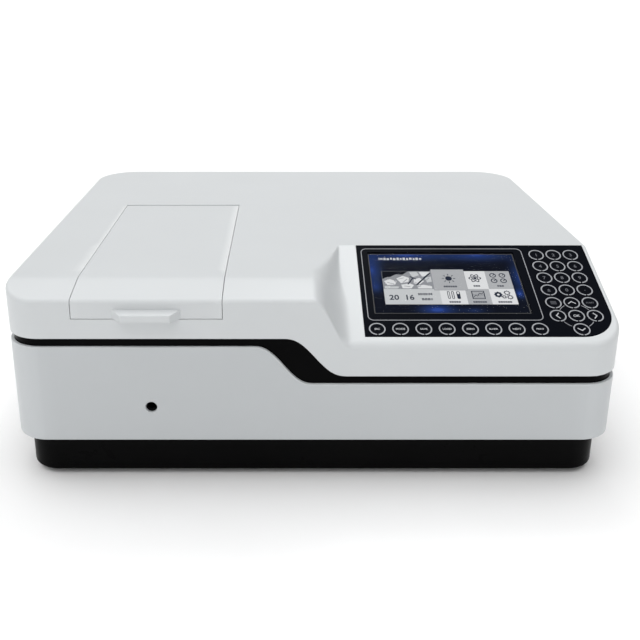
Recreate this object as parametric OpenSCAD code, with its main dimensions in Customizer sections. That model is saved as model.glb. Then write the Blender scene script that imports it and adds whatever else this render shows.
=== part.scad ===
// Benchtop UV-visible spectrophotometer: moulded case, hinged sample lid, sloped control panel, optics.
// Millimetres. X runs along the front, Y towards the rear, Z up from the table. Each node is one piece.

/* [Case] */
// Width of the case
case_w = 590; // [588:1:596]
// Depth of the case from front wall to rear wall
case_d = 490; // [488:1:496]
// Height of the flat top above the table
case_h = 200; // [200:1:203]
// Radius of the front corners seen from above
corner_r = 35; // [32:1:38]
// Radius of the rear corners seen from above
rear_r = 50; // [44:1:50]
// Thickness of the moulded walls
wall = 3; // [2.8:0.1:3.2]
// Height of the feet under the base
foot_h = 5; // [4:0.5:6]
// Height of the lower edge of the light housing
skirt_top = 45; // [44:1:46]

/* [Trim band] */
// Upper edge of the black band on the lid side
band_left = 151.5; // [150:0.5:153]
// Upper edge of the black band on the panel side
band_right = 112.7; // [111.5:0.1:114]
// Height of the black band between cover and housing
band_gap = 7; // [6.5:0.1:7.4]

/* [Sample lid] */
// Middle of the lid along the front
lid_x = -157; // [-160:1:-155]
// Width of the lid
lid_w = 140; // [138:1:142]
// Distance the lid reaches back from the front wall
lid_d = 302; // [299:1:304]
// Distance the moulded lip of the lid stands out in front
ledge_out = 10; // [9:0.5:10]

/* [Control panel] */
// Slope of the control panel in degrees
panel_tilt = 21.5; // [21:0.1:22]
// Distance of the panel's rear crease from the front wall
panel_d = 137; // [136:0.5:139]
// Diameter of a key cap
key_d = 16.6; // [16.2:0.1:16.8]
// Travel of a key
key_travel = 0.5; // [0.3:0.1:0.5]

/* [Sample bay] */
// Number of cuvette places in the carriage
cell_count = 5; // [3:1:5]
// Distance between cuvette places
cell_pitch = 18; // [17:0.5:18]
// Side of a cuvette slot
cell_slot = 12.6; // [12.5:0.1:12.8]

/* [Hidden] */
$fn = 64;
pad_keys = [for (i = [1 : 19]) str("pad_key_", i)];
fn_keys = [for (i = [1 : 8]) str("fn_key_", i)];
case_nodes = ["base_tray", "feet", "lower_housing", "trim_band", "upper_cover", "case_screws"];
lid_nodes = ["sample_lid", "hinge_pins", "lid_seal"];
panel_nodes = ["control_panel", "display_window", "lcd_module", "keypad_board"];
rear_nodes = ["rear_panel", "power_inlet", "power_switch", "fan_frame", "fan_rotor", "main_board",
              "power_supply"];
bay_nodes = ["optical_bench", "sample_chamber", "cell_carriage", "carriage_rails", "carriage_screw",
             "carriage_motor"];
optic_nodes = ["monochromator", "grating_turret", "lamp_house", "deuterium_lamp", "tungsten_lamp",
               "source_mirror", "detector_head"];

eps = 0.5;
gap = 0.3;
shaft_gap = 0.05;

// The front lip and the rear wall end the same distance from the origin
y_front = -(case_d - ledge_out) / 2;
y_rear = y_front + case_d;
y_mid = (y_front + y_rear) / 2;

// The lid side of the top rolls down a little at the front
roll_len = 38;
roll_drop = 9;
roll_angle = atan(roll_drop / roll_len);

// The black band steps down between the lid side and the panel side
cover_s_start = -31;
cover_s_span = 63;
housing_s_start = -60;
housing_s_span = 60;
s_steps = 20;
band_inset = wall + 0.2;
band_wall = 3;
band_lap = 6;

base_inset = 10;
base_r = corner_r - 5;
base_wall = 3;
bench_top = 54;
bench_z = 46;

// Lid and its hinge
seam = 1;
lid_bottom = 173;
hinge_r = 6;
pin_r = 2;
pin_len = 24;
lid_x0 = lid_x - lid_w / 2;
lid_x1 = lid_x + lid_w / 2;
hinge_y = y_front + lid_d - hinge_r;
hinge_z = case_h - hinge_r;
ledge_root = 64;
ledge_tip = 46;
ledge_top = 182.3;
skirt_z = 182;

// Control panel
panel_y = y_front + panel_d;
panel_wall = 4.5;
overlay_x0 = 47.7;
overlay_x1 = 290;
overlay_len = 136;
overlay_r = 35;
overlay_t = 2;
recess = 2.2;
valley_x0 = 46;
valley_w = 54;
valley_h = 42;
valley_steps = 16;
screen_x0 = 59.3;
screen_w = 154.2;
screen_s0 = 11.9;
screen_h = 92.3;
pad_x = 255.6;
pad_pitch = 18.1;
pad_s = [16.3, 34.4, 52.4, 70.9, 89.5, 107.8, 126.3];
fn_x = 59.8;
fn_pitch = 22.3;
fn_s = 125.8;
key_proud = 0.3;
key_t = 3;
flange_d = 17.6;
board_z = -7;

// Sample bay
bay_wall = 3;
bay_x0 = lid_x - 76;
bay_x1 = lid_x + 76;
bay_y0 = y_front + 6.5;
bay_y1 = hinge_y + 16;
ledge_z = 176;
beam_y = -80;
beam_z = 95;
rail_z = 68;
rail_x = 18;
rail_r = 3;
screw_r = 3;
cell_floor = 80;
cell_top = 118;
port_x = lid_x;
port_z = 80.7;
port_d = 11;

// Rear panel
plate_t = 2;
plate_y = y_rear - wall - plate_t;
plate_x = 244.8;
plate_z0 = 53;
plate_z1 = 99;
fan_x = -201;
fan_z = 96;
fan_size = 80;
fan_t = 25;
fan_hole_r = 38;
plate_tall_x = -152;
plate_tall_z = 137.5;
inlet_x = 190;
inlet_z = 77;
rocker_x = inlet_x - 26;
rocker_y = y_rear - 6.5;
rocker_tilt = 8;
mono_x0 = -60;
mono_x1 = 90;
mono_y0 = -160;
mono_y1 = 0;
turret_x = 20;
turret_y = -50;
lamp_x0 = 150;
lamp_x1 = 250;
lamp_y0 = -140;
lamp_y1 = -20;
mirror_x = 180;

module rounded_rect(w, d, r) {
  square([w - 2 * r, d], center = true);
  square([w, d - 2 * r], center = true);
  for (x = [-1, 1], y = [-1, 1]) translate([x * (w / 2 - r), y * (d / 2 - r)]) circle(r);
}

module plan(inset) {
  w = case_w / 2 - inset;
  y0 = y_front + inset;
  y1 = y_rear - inset;
  front = corner_r - inset;
  rear = rear_r - inset;
  translate([-w + front, y0]) square([2 * (w - front), front + eps]);
  translate([-w, y0 + front]) square([2 * w, y1 - rear - y0 - front]);
  translate([-w + rear, y1 - rear - eps]) square([2 * (w - rear), rear + eps]);
  for (x = [-1, 1]) {
    translate([x * (w - front), y0 + front]) circle(front);
    translate([x * (w - rear), y1 - rear]) circle(rear);
  }
}

module base_plan(inset) {
  shrink = 2 * (base_inset + inset);
  translate([0, y_mid]) rounded_rect(case_w - shrink, case_d - shrink, base_r - inset);
}

module box(x0, x1, y0, y1, z0, z1) {
  translate([x0, y0, z0]) cube([x1 - x0, y1 - y0, z1 - z0]);
}

// Extrudes a drawing of Y and Z along X, from x0 to x1
module along_x(x0, x1) {
  translate([x0, 0, 0]) rotate([90, 0, 90]) linear_extrude(x1 - x0) children();
}

// Extrudes a drawing of X and Z along Y, from y0 to y1
module along_y(y0, y1) {
  translate([0, y1, 0]) rotate([90, 0, 0]) linear_extrude(y1 - y0) children();
}

module rod_x(x0, x1, y, z, r) {
  translate([x0, y, z]) rotate([0, 90, 0]) cylinder(r = r, h = x1 - x0);
}

module rod_y(y0, y1, x, z, r) {
  translate([x, y0, z]) rotate([-90, 0, 0]) cylinder(r = r, h = y1 - y0);
}

module on_panel() {
  translate([0, panel_y, case_h]) rotate([panel_tilt, 0, 0]) children();
}

function ease(t) = let (u = min(1, max(0, t))) u * u * u * (u * (6 * u - 15) + 10);
function s_point(x0, span, z0, z1, t) = [x0 + span * t, z0 + (z1 - z0) * ease(t)];
function s_curve(x0, span, z0, z1) = [for (i = [0 : s_steps]) s_point(x0, span, z0, z1, i / s_steps)];
function cover_line(up) = s_curve(cover_s_start, cover_s_span, band_left + up, band_right + up);
function band_line(up) = s_curve(housing_s_start, housing_s_span, band_left + up, band_right + up);
function housing_line(up) = band_line(up - band_gap);
function backwards(list) = [for (i = [len(list) - 1 : -1 : 0]) list[i]];
function run_out(line) = concat([[-400, line[0][1]]], line, [[400, line[len(line) - 1][1]]]);

// Everything above the front roll of the lid side, moved inwards by inset
module above_roll(inset, x0, x1) {
  reach = 40;
  rise = reach * tan(roll_angle);
  translate([0, inset * sin(roll_angle), -inset * cos(roll_angle)]) along_x(x0, x1) polygon([
    [y_front - reach, case_h - roll_drop - rise],
    [y_front + roll_len + reach, case_h + rise],
    [y_front - reach, case_h + rise]
  ]);
}

// The wall between the lid side and the panel: an S seen along the panel's slope
function valley_point(t) = [valley_x0 - valley_w * t, valley_h * t * t * (3 - 2 * t)];
valley = [for (i = [0 : valley_steps]) valley_point(i / valley_steps)];

// Everything above the sloped panel and its valley, moved inwards
module above_panel(drop, side) {
  outline = concat(valley, [[valley_x0 - valley_w - 3, 90], [400, 90], [400, 0]]);
  on_panel() translate([-side, 0, -drop]) along_y(-220, 40) polygon(outline);
}

module cover_block(inset, drop, low) {
  difference() {
    translate([0, 0, low]) linear_extrude(case_h - inset - low) plan(inset);
    above_roll(inset, -400, 400);
    above_panel(drop, drop);
  }
}

module overlay_plan(grow) {
  r = overlay_r + grow;
  x0 = overlay_x0 - grow;
  x1 = overlay_x1 + grow;
  y0 = -overlay_len - grow;
  translate([x0, y0 + r]) square([x1 - x0, grow - y0 - r]);
  translate([x0, y0]) square([x1 - x0 - r, r + eps]);
  translate([x1 - r, y0 + r]) circle(r);
}

module panel_box(x0, x1, s0, s1, z0, z1) {
  box(x0, x1, -s1, -s0, z0, z1);
}

function pad_place(i) = i == 18 ? [pad_x, pad_s[6]] : [pad_x + pad_pitch * (i % 3 - 1), pad_s[floor(i / 3)]];
function fn_place(i) = [fn_x + fn_pitch * i, fn_s];
key_places = concat([for (i = [0 : 7]) fn_place(i)], [for (i = [0 : 18]) pad_place(i)]);

foot_places = [[-240, y_mid - 198], [240, y_mid - 198], [-240, y_mid + 198], [240, y_mid + 198]];
side_screws = [for (x = [-262, 262], y = [-150, 150]) [x, y_mid + y]];
base_screws = concat(side_screws, [[0, y_mid - 215], [0, y_mid + 215]]);
fan_screws = [for (x = [-1, 1], z = [-1, 1]) [fan_x + x * 35.75, fan_z + z * 35.75]];
plate_screws = concat([[234, 64], [234, 90], [70, 90], [-138, 64]], fan_screws);
pillars = [[-122, 110], [52, 110], [-122, 225], [52, 225]];

module screw(head_r, head_h, shank_r, shank_l) {
  difference() {
    cylinder(r = head_r, h = head_h);
    translate([-head_r, -0.4, head_h - 0.8]) cube([2 * head_r, 0.8, 1]);
    translate([-0.4, -head_r, head_h - 0.8]) cube([0.8, 2 * head_r, 1]);
  }
  translate([0, 0, -shank_l]) cylinder(r = shank_r, h = shank_l + eps);
}

// ---- Case ----

module base_tray() color([0.02, 0.02, 0.022]) {
  difference() {
    union() {
      translate([0, 0, foot_h]) linear_extrude(skirt_top + gap + wall - foot_h) base_plan(0);
      translate([0, 0, skirt_top + gap]) linear_extrude(wall) plan(wall + gap);
    }
    translate([0, 0, foot_h + base_wall]) linear_extrude(skirt_top + wall) base_plan(base_wall);
    for (p = base_screws) translate([p[0], p[1], 0]) cylinder(r = 1.6, h = 60);
    for (x = [-120, 120], i = [0 : 7]) box(x - 22, x + 22, i * 9 - 30, i * 9 - 26, 0, 20);
  }
  floor_z = foot_h + base_wall - eps;
  for (p = pillars) translate([p[0], p[1], floor_z]) cylinder(r = 4, h = 58 - floor_z);
}

module feet() color([0.05, 0.05, 0.055]) {
  for (p = foot_places) translate([p[0], p[1], 0]) {
    cylinder(r1 = 13, r2 = 15, h = 1.5);
    translate([0, 0, 1.5]) cylinder(r = 15, h = foot_h - 1.5);
  }
}

module lower_housing() color([0.77, 0.79, 0.80]) {
  difference() {
    translate([0, 0, skirt_top]) linear_extrude(140) plan(0);
    translate([0, 0, skirt_top - 9]) linear_extrude(200) plan(wall);
    along_y(y_front - 9, y_rear + 9) polygon(concat(run_out(housing_line(0)), [[400, 300], [-400, 300]]));
    rod_y(y_front - 9, y_front + 9, port_x, port_z, port_d / 2);
    box(-plate_x + 4.3, plate_x - 4.3, y_rear - 9, y_rear + 9, plate_z0 + 3.5, plate_z1 - 4);
    box(-plate_x + 4.3, plate_tall_x - 6, y_rear - 9, y_rear + 9, plate_z0 + 3.5, plate_tall_z - 1.7);
  }
}

module trim_band() color([0.015, 0.015, 0.018]) {
  intersection() {
    difference() {
      translate([0, 0, 60]) linear_extrude(120) plan(band_inset);
      translate([0, 0, 50]) linear_extrude(140) plan(band_inset + band_wall);
    }
    outline = concat(run_out(cover_line(band_lap)), backwards(run_out(housing_line(-band_lap))));
    along_y(y_front - 9, y_rear + 9) polygon(outline);
  }
}

module upper_cover() color([0.84, 0.86, 0.86]) {
  low = 60;
  difference() {
    cover_block(0, 0, low);
    cover_block(wall, panel_wall, low - 9);
    along_y(y_front - 9, y_rear + 9) polygon(concat(run_out(cover_line(0)), [[400, 0], [-400, 0]]));
    box(lid_x0 - seam, lid_x1 + seam, y_front - 9, hinge_y + hinge_r + seam, lid_bottom - seam, case_h + 9);
    on_panel() {
      translate([0, 0, -recess]) linear_extrude(20) overlay_plan(0.25);
      panel_box(54, 221, 5, 114.5, -20, 5);
      panel_box(226.5, 285, 5, 117, -20, 5);
      panel_box(50.5, 226, 116.5, 135.2, -20, 5);
      panel_box(225.5, 268, 116.5, 135.6, -20, 5);
    }
  }
  on_panel() for (p = [[289, 3], [289, 60], [48, 132]]) intersection() {
    translate([p[0], -p[1], board_z]) cylinder(r = 3, h = -panel_wall - board_z + eps);
    panel_box(40, 290.6, 1, 137, -20, 5);
  }
}

module case_screws() color([0.62, 0.63, 0.65]) {
  for (p = base_screws) translate([p[0], p[1], foot_h]) rotate([180, 0, 0]) screw(3, 1.6, 1.5, 6);
  for (p = plate_screws) translate([p[0], plate_y + plate_t, p[1]]) rotate([-90, 0, 0]) screw(3, 1.6, 1.5, 6);
}

// ---- Sample lid ----

// Side view of the lid side of the case, moved inwards by inset
module lid_profile(inset, y1) {
  y0 = y_front + inset;
  z_corner = case_h - roll_drop - inset / cos(roll_angle) + inset * tan(roll_angle);
  y_corner = y_front + roll_len + inset * tan(roll_angle / 2);
  polygon([[y0, 100], [y1, 100], [y1, case_h - inset], [y_corner, case_h - inset], [y0, z_corner]]);
}

module sample_lid() color([0.84, 0.86, 0.86]) {
  difference() {
    union() {
      difference() {
        along_x(lid_x0, lid_x1) lid_profile(0, hinge_y);
        along_x(lid_x0 - 9, lid_x1 + 9) lid_profile(wall, hinge_y + 9);
        box(lid_x0 - 9, lid_x1 + 9, y_front - 9, hinge_y + 9, 0, lid_bottom);
      }
      for (x = [lid_x0 + 1, lid_x1 - 3]) difference() {
        along_x(x, x + 2) lid_profile(1, hinge_y - 8);
        box(x - 9, x + 9, y_front - 9, hinge_y, 0, skirt_z);
      }
      rod_x(lid_x0, lid_x1, hinge_y, hinge_z, hinge_r);
      translate([0, 0, lid_bottom]) linear_extrude(ledge_top - lid_bottom) polygon([
        [lid_x - ledge_root / 2, y_front + eps],
        [lid_x - ledge_root / 2, y_front],
        [lid_x - ledge_tip / 2, y_front - ledge_out],
        [lid_x + ledge_tip / 2, y_front - ledge_out],
        [lid_x + ledge_root / 2, y_front],
        [lid_x + ledge_root / 2, y_front + eps]
      ]);
    }
    rod_x(lid_x0 - 1, lid_x1 + 1, hinge_y, hinge_z, pin_r + shaft_gap);
    translate([0, y_front, ledge_top]) rotate([13, 0, 0]) box(lid_x - 40, lid_x + 40, -20, 0, 0, 9);
  }
}

module hinge_pins() color([0.75, 0.75, 0.77]) {
  for (x = [lid_x0 - 11, lid_x1 + 11 - pin_len]) rod_x(x, x + pin_len, hinge_y, hinge_z, pin_r);
}

module lid_seal() color([0.03, 0.03, 0.03]) {
  difference() {
    box(bay_x0 + 3.5, bay_x1 - 3.5, bay_y0 + 1, hinge_y - 4, ledge_z + 3, skirt_z - 0.5);
    box(bay_x0 + 11, bay_x1 - 11, bay_y0 + 7, hinge_y - 12, 100, 200);
  }
}

// ---- Control panel ----

module control_panel() color([0.02, 0.022, 0.028]) {
  x1 = screen_x0 + screen_w;
  s1 = screen_s0 + screen_h;
  on_panel() difference() {
    translate([0, 0, -overlay_t]) linear_extrude(overlay_t) overlay_plan(0);
    panel_box(screen_x0 - gap, x1 + gap, screen_s0 - gap, s1 + gap, -9, 9);
    for (p = key_places) translate([p[0], -p[1], -9]) cylinder(d = key_d + 2 * gap, h = 18);
  }
}

module display_window() color([0.5, 0.55, 0.6, 0.35]) {
  on_panel() panel_box(screen_x0, screen_x0 + screen_w, screen_s0, screen_s0 + screen_h, -1.6, 0);
}

module lcd_module() color([0.08, 0.13, 0.3]) {
  x1 = screen_x0 + screen_w;
  s1 = screen_s0 + screen_h;
  on_panel() difference() {
    panel_box(screen_x0 - 4.5, x1 + 5.5, screen_s0 - 5, s1 + 5, -9.5, -2.4);
    panel_box(screen_x0 + 20, x1 - 20, screen_s0 + 20, s1 - 20, -12, -8);
  }
}

module keypad_board() color([0.05, 0.25, 0.12]) {
  on_panel() {
    difference() {
      union() {
        panel_box(222, 290, 2, 115.5, board_z - 1.6, board_z);
        panel_box(48, 268, 115.2, 135.5, board_z - 1.6, board_z);
      }
      for (p = key_places) translate([p[0], -p[1], board_z - 9]) cylinder(r = 1, h = 18);
    }
    for (p = key_places) translate([p[0], -p[1], board_z - 0.2]) difference() {
      cylinder(r = 4, h = 0.5);
      translate([0, 0, -1]) cylinder(r = 2, h = 3);
    }
  }
}

module key(place) color([0.03, 0.032, 0.04]) {
  plunger_z = board_z + 0.4 + key_travel;
  on_panel() translate([place[0], -place[1], 0]) {
    translate([0, 0, key_proud - key_t]) cylinder(d = key_d, h = key_t);
    translate([0, 0, -overlay_t - gap - 0.8]) cylinder(d = flange_d, h = 0.8);
    translate([0, 0, plunger_z]) cylinder(d = 6, h = -overlay_t - plunger_z);
  }
}

// ---- Rear and electronics ----

module fan_rings() {
  for (r = [9, 17, 25, 33]) difference() {
    cylinder(r = r + 5, h = 20, center = true);
    cylinder(r = r, h = 22, center = true);
    for (a = [45, 135]) rotate([0, 0, a]) cube([2.4, 200, 30], center = true);
  }
}

module rear_panel() color([0.45, 0.46, 0.48]) {
  difference() {
    union() {
      box(-plate_x, plate_x, plate_y, plate_y + plate_t, plate_z0, plate_z1);
      box(-plate_x, plate_tall_x, plate_y, plate_y + plate_t, plate_z0, plate_tall_z);
    }
    translate([fan_x, plate_y, fan_z]) rotate([90, 0, 0]) fan_rings();
    for (p = plate_screws) translate([p[0], plate_y - 5, p[1]]) rotate([-90, 0, 0]) cylinder(r = 1.6, h = 20);
    box(inlet_x - 36, inlet_x + 36, plate_y - 5, plate_y + 9, inlet_z - 13, inlet_z + 13);
    box(-100.5, -87.5, plate_y - 5, plate_y + 9, 59, 71);
    box(-70.5, -55.5, plate_y - 5, plate_y + 9, 59, 75.5);
    box(-30.5, 1.5, plate_y - 5, plate_y + 9, 59, 72.5);
    for (i = [0 : 9]) box(86 + i * 6, 89 + i * 6, plate_y - 5, plate_y + 9, 63, 91);
  }
}

module power_inlet() color([0.03, 0.03, 0.03]) {
  face = y_rear - 1;
  difference() {
    union() {
      box(inlet_x - 38, inlet_x + 38, plate_y + plate_t, face, inlet_z - 15, inlet_z + 15);
      box(inlet_x - 35.5, inlet_x + 35.5, plate_y - 30, plate_y + plate_t, inlet_z - 12.5, inlet_z + 12.5);
    }
    box(inlet_x - 10, inlet_x + 14.5, face - 18, y_rear + 9, inlet_z - 8.5, inlet_z + 8.5);
    box(rocker_x - 7.4, rocker_x + 7.4, rocker_y - 7, y_rear + 9, inlet_z - 11.6, inlet_z + 11.6);
    rod_x(rocker_x - 9.5, rocker_x + 9.5, rocker_y, inlet_z, 1.5 + shaft_gap);
    box(inlet_x + 19, inlet_x + 33, face - 0.8, y_rear + 9, inlet_z - 10, inlet_z + 10);
  }
  for (p = [[-4.75, -0.5], [2.25, 2.5], [9.25, -0.5]]) {
    translate([inlet_x + p[0], 0, inlet_z + p[1]]) box(-1, 1, face - 19, face - 3, 0, 4);
  }
  box(inlet_x + 21, inlet_x + 31, face - 1.3, face, inlet_z - 8, inlet_z + 8);
}

module power_switch() color([0.06, 0.06, 0.06]) {
  translate([rocker_x, rocker_y, inlet_z]) rotate([rocker_tilt, 0, 0]) {
    along_x(-7, 7) polygon([[-3, -10.6], [4.2, -10.6], [2.6, 0], [4.2, 10.6], [-3, 10.6]]);
    translate([-9, 0, 0]) rotate([0, 90, 0]) cylinder(r = 1.5, h = 18);
  }
}

module fan_frame() color([0.04, 0.04, 0.045]) {
  y0 = plate_y - fan_t;
  half = fan_size / 2;
  difference() {
    box(fan_x - half, fan_x + half, y0, plate_y, fan_z - half, fan_z + half);
    rod_y(y0 - 1, plate_y + 1, fan_x, fan_z, fan_hole_r);
    for (p = fan_screws) rod_y(y0 - 1, plate_y + 1, p[0], p[1], 2.1);
  }
  translate([fan_x, y0, fan_z]) for (a = [0, 120, 240]) {
    rotate([0, a, 0]) box(-2, 2, 0, 2.5, 12, fan_hole_r + 0.6);
  }
  difference() {
    rod_y(y0, y0 + 2.5, fan_x, fan_z, 14);
    rod_y(y0 - 1, y0 + 8, fan_x, fan_z, 2 + shaft_gap);
  }
}

module fan_rotor() color([0.05, 0.05, 0.055]) {
  y0 = plate_y - fan_t;
  translate([fan_x, y0 + 3.2, fan_z]) rotate([-90, 0, 0]) {
    difference() {
      cylinder(r = 15, h = 19);
      translate([0, 0, -1]) cylinder(r = 13, h = 3);
    }
    translate([0, 0, -3.2]) cylinder(r = 2, h = 6);
    for (i = [0 : 6]) rotate([0, 0, i * 360 / 7]) translate([14, 0, 9.5]) rotate([35, 0, 0]) {
      box(0, 22.5, -1, 0.8, -9, 9);
    }
  }
}

module main_board() color([0.05, 0.28, 0.14]) {
  top = 59.6;
  difference() {
    box(-130, 60, 100, plate_y - 1, 58, top);
    for (p = pillars) translate([p[0], p[1], 50]) cylinder(r = 1.6, h = 20);
  }
  difference() {
    box(-100, -88, plate_y - 14, y_rear - 1.5, top - 0.2, 70.6);
    box(-98.2, -89.8, plate_y - 6, y_rear, top + 1.4, top + 9.2);
  }
  box(-97, -91, plate_y - 7, y_rear - 3, top + 3.6, top + 6.8);
  difference() {
    box(-70, -56, plate_y - 14, y_rear - 1.5, top - 0.2, 75);
    for (z = [top + 1.2, top + 8.6]) box(-69.2, -56.8, plate_y - 6, y_rear, z, z + 5.2);
  }
  for (z = [top + 1.2, top + 8.6]) box(-68.5, -57.5, plate_y - 7, y_rear - 3, z + 1.6, z + 3.6);
  box(-30, 1, plate_y - 12, y_rear - 2, top - 0.2, 72);
  for (p = [[-60, 150, 28, 3], [0, 150, 20, 2.5], [-100, 190, 16, 2.5], [20, 195, 22, 3]]) {
    translate([p[0] - p[2] / 2, p[1] - p[2] / 2, top - 0.2]) cube([p[2], p[2], p[3] + 0.2]);
  }
  for (x = [-110 : 14 : -68]) translate([x, 122, top - 0.2]) cylinder(r = 5, h = 14);
}

module power_supply() color([0.6, 0.61, 0.63]) {
  z0 = foot_h + base_wall;
  difference() {
    box(75, 225, 92, 202, z0, z0 + 56);
    box(77, 223, 94, 200, z0 + 2, z0 + 70);
    for (i = [0 : 8]) box(90 + i * 14, 96 + i * 14, 80, 220, z0 + 12, z0 + 44);
  }
  box(95, 150, 110, 165, z0 + 2 - 0.2, z0 + 42);
  for (x = [170, 195], y = [120, 150]) translate([x, y, z0 + 1.8]) cylinder(r = 9, h = 34);
}

// ---- Sample bay ----

module optical_bench() color([0.66, 0.67, 0.69]) {
  difference() {
    intersection() {
      box(-276, 258, bay_y0 + 8, hinge_y + 12, bench_z, bench_top);
      linear_extrude(bench_top + 1) base_plan(base_wall + 1);
    }
    for (x = [-200 : 60 : 220]) translate([x, 20, 40]) cylinder(r = 9, h = 30);
  }
  for (x = [-262, 244], y = [y_front + 30, hinge_y - 6]) translate([x, y, foot_h + base_wall]) difference() {
    cylinder(r = 9, h = bench_z - foot_h - base_wall + eps);
    translate([0, 0, -1]) cylinder(r = 2, h = 20);
  }
}

module sample_chamber() color([0.035, 0.035, 0.038]) {
  w = bay_wall;
  top = case_h - wall;
  difference() {
    union() {
      difference() {
        box(bay_x0, bay_x1, bay_y0, bay_y1, bench_top, top);
        box(bay_x0 + w, bay_x1 - w, bay_y0 + w, bay_y1 - w, bench_top + w, top + 9);
        box(bay_x0 - 9, bay_x1 + 9, bay_y0 - 9, bay_y0 + w + 1, ledge_z + w, top + 9);
      }
      difference() {
        box(bay_x0 + 1, bay_x1 - 1, bay_y0 + 1, hinge_y - 4, ledge_z, ledge_z + w);
        box(bay_x0 + 11, bay_x1 - 11, bay_y0 + 7, hinge_y - 12, 100, 200);
      }
      box(bay_x0, bay_x1, y_front + wall + 0.1, bay_y0 + 1, 164, 167);
      for (x = [bay_x0 - 6, bay_x1 - 1]) box(x, x + 7, hinge_y - 6, hinge_y + 6, hinge_z - 8, top);
    }
    above_roll(wall + 0.05, -400, 400);
    rod_x(bay_x0 - 20, bay_x1 + 20, hinge_y, hinge_z, pin_r + shaft_gap);
    rod_x(bay_x0 - 20, bay_x1 + 20, beam_y, beam_z, 6);
    rod_y(bay_y0 - 9, bay_y0 + 9, port_x, port_z, port_d / 2);
    rod_y(bay_y1 - 9, bay_y1 + 9, lid_x, rail_z, screw_r + 0.5);
  }
}

module carriage_rails() color([0.78, 0.78, 0.8]) {
  for (x = [-rail_x, rail_x]) rod_y(bay_y0 + bay_wall, bay_y1 - bay_wall, lid_x + x, rail_z, rail_r);
}

module cell_carriage() color([0.08, 0.08, 0.085]) {
  half = cell_count * cell_pitch / 2 + 3;
  first = beam_y - (cell_count - 1) * cell_pitch / 2;
  difference() {
    union() {
      box(lid_x - 26, lid_x + 26, beam_y - half, beam_y + half, 60, 77);
      box(lid_x - 11, lid_x + 11, beam_y - half, beam_y + half, 76, cell_top);
    }
    for (i = [0 : cell_count - 1]) translate([lid_x, first + i * cell_pitch, 0]) {
      box(-cell_slot / 2, cell_slot / 2, -cell_slot / 2, cell_slot / 2, cell_floor, cell_top + 9);
      rod_x(-20, 20, 0, beam_z, 4);
    }
    translate([lid_x, 0, rail_z]) for (x = [-rail_x, 0, rail_x]) {
      rod_y(beam_y - half - 1, beam_y + half + 1, x, 0, rail_r + shaft_gap);
    }
  }
}

module carriage_screw() color([0.72, 0.72, 0.74]) {
  rod_y(bay_y0 + bay_wall + 0.5, bay_y1 + 9.5, lid_x, rail_z, screw_r);
}

module carriage_motor() color([0.12, 0.12, 0.13]) {
  difference() {
    box(lid_x - 17.5, lid_x + 17.5, bay_y1, bay_y1 + 26, rail_z - 17.5, rail_z + 17.5);
    rod_y(bay_y1 - 1, bay_y1 + 11, lid_x, rail_z, screw_r + shaft_gap);
    translate([lid_x, bay_y1 + 13, rail_z]) for (x = [-17.5, 17.5], z = [-17.5, 17.5]) {
      translate([x, 0, z]) rotate([0, 45, 0]) cube([5, 30, 5], center = true);
    }
  }
}

// ---- Optics ----

module monochromator() color([0.1, 0.1, 0.11]) {
  difference() {
    union() {
      difference() {
        box(mono_x0, mono_x1, mono_y0, mono_y1, bench_top, 112);
        box(mono_x0 + 4, mono_x1 - 4, mono_y0 + 4, mono_y1 - 4, bench_top + 4, 130);
      }
      translate([turret_x, turret_y, bench_top]) cylinder(r = 12, h = 6);
      for (y = [mono_y0 + 6, mono_y1 - 36]) box(mono_x0 + 20, mono_x0 + 26, y, y + 28, bench_top + 3.5, 106);
    }
    rod_x(mono_x0 - 9, mono_x1 + 9, beam_y, beam_z, 3);
    translate([turret_x, turret_y, bench_top - 1]) cylinder(r = 3 + shaft_gap, h = 20);
  }
}

module grating_turret() color([0.55, 0.56, 0.6]) {
  translate([turret_x, turret_y, 0]) {
    translate([0, 0, bench_top + 0.3]) cylinder(r = 3, h = 8);
    translate([0, 0, bench_top + 6.3]) cylinder(r = 22, h = 6);
    box(-15, 15, -4, 4, bench_top + 12, bench_top + 44);
  }
}

module lamp_house() color([0.5, 0.51, 0.53]) {
  difference() {
    union() {
      difference() {
        box(lamp_x0, lamp_x1, lamp_y0, lamp_y1, bench_top, 120);
        box(lamp_x0 + 2, lamp_x1 - 2, lamp_y0 + 2, lamp_y1 - 2, bench_top + 2, 140);
      }
      for (p = [[mirror_x, beam_y, 8], [225, -50, 17], [225, -112, 11]]) {
        translate([p[0], p[1], bench_top]) cylinder(r = p[2], h = 6);
      }
    }
    rod_x(lamp_x0 - 9, lamp_x0 + 9, beam_y, beam_z, 5);
    translate([mirror_x, beam_y, bench_top - 1]) cylinder(r = 2.5 + shaft_gap, h = 20);
    translate([225, -50, bench_top + 3]) cylinder(r = 14.05, h = 20);
    translate([225, -112, bench_top + 3]) cylinder(r = 7.05, h = 20);
    for (i = [0 : 6]) box(lamp_x1 - 9, lamp_x1 + 9, lamp_y0 + 14 + i * 14, lamp_y0 + 20 + i * 14, 66, 108);
  }
}

module deuterium_lamp() color([0.85, 0.86, 0.88]) {
  translate([225, -50, bench_top + 3]) {
    cylinder(r = 14, h = 44);
    translate([0, 0, 44 - eps]) cylinder(r1 = 14, r2 = 5, h = 8);
  }
}

module tungsten_lamp() color([0.9, 0.88, 0.8]) {
  translate([225, -112, bench_top + 3]) {
    cylinder(r = 7, h = 14);
    translate([0, 0, 14 - eps]) cylinder(r = 5, h = 20);
    translate([0, 0, 33.5]) sphere(r = 5);
  }
}

module source_mirror() color([0.8, 0.82, 0.85]) {
  translate([mirror_x, beam_y, 0]) {
    translate([0, 0, bench_top + 0.3]) cylinder(r = 2.5, h = 8);
    translate([0, 0, bench_top + 6.3]) cylinder(r = 9, h = 3);
    rotate([0, 0, 45]) box(-2, 2, -14, 14, bench_top + 9, bench_top + 52);
  }
}

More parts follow.
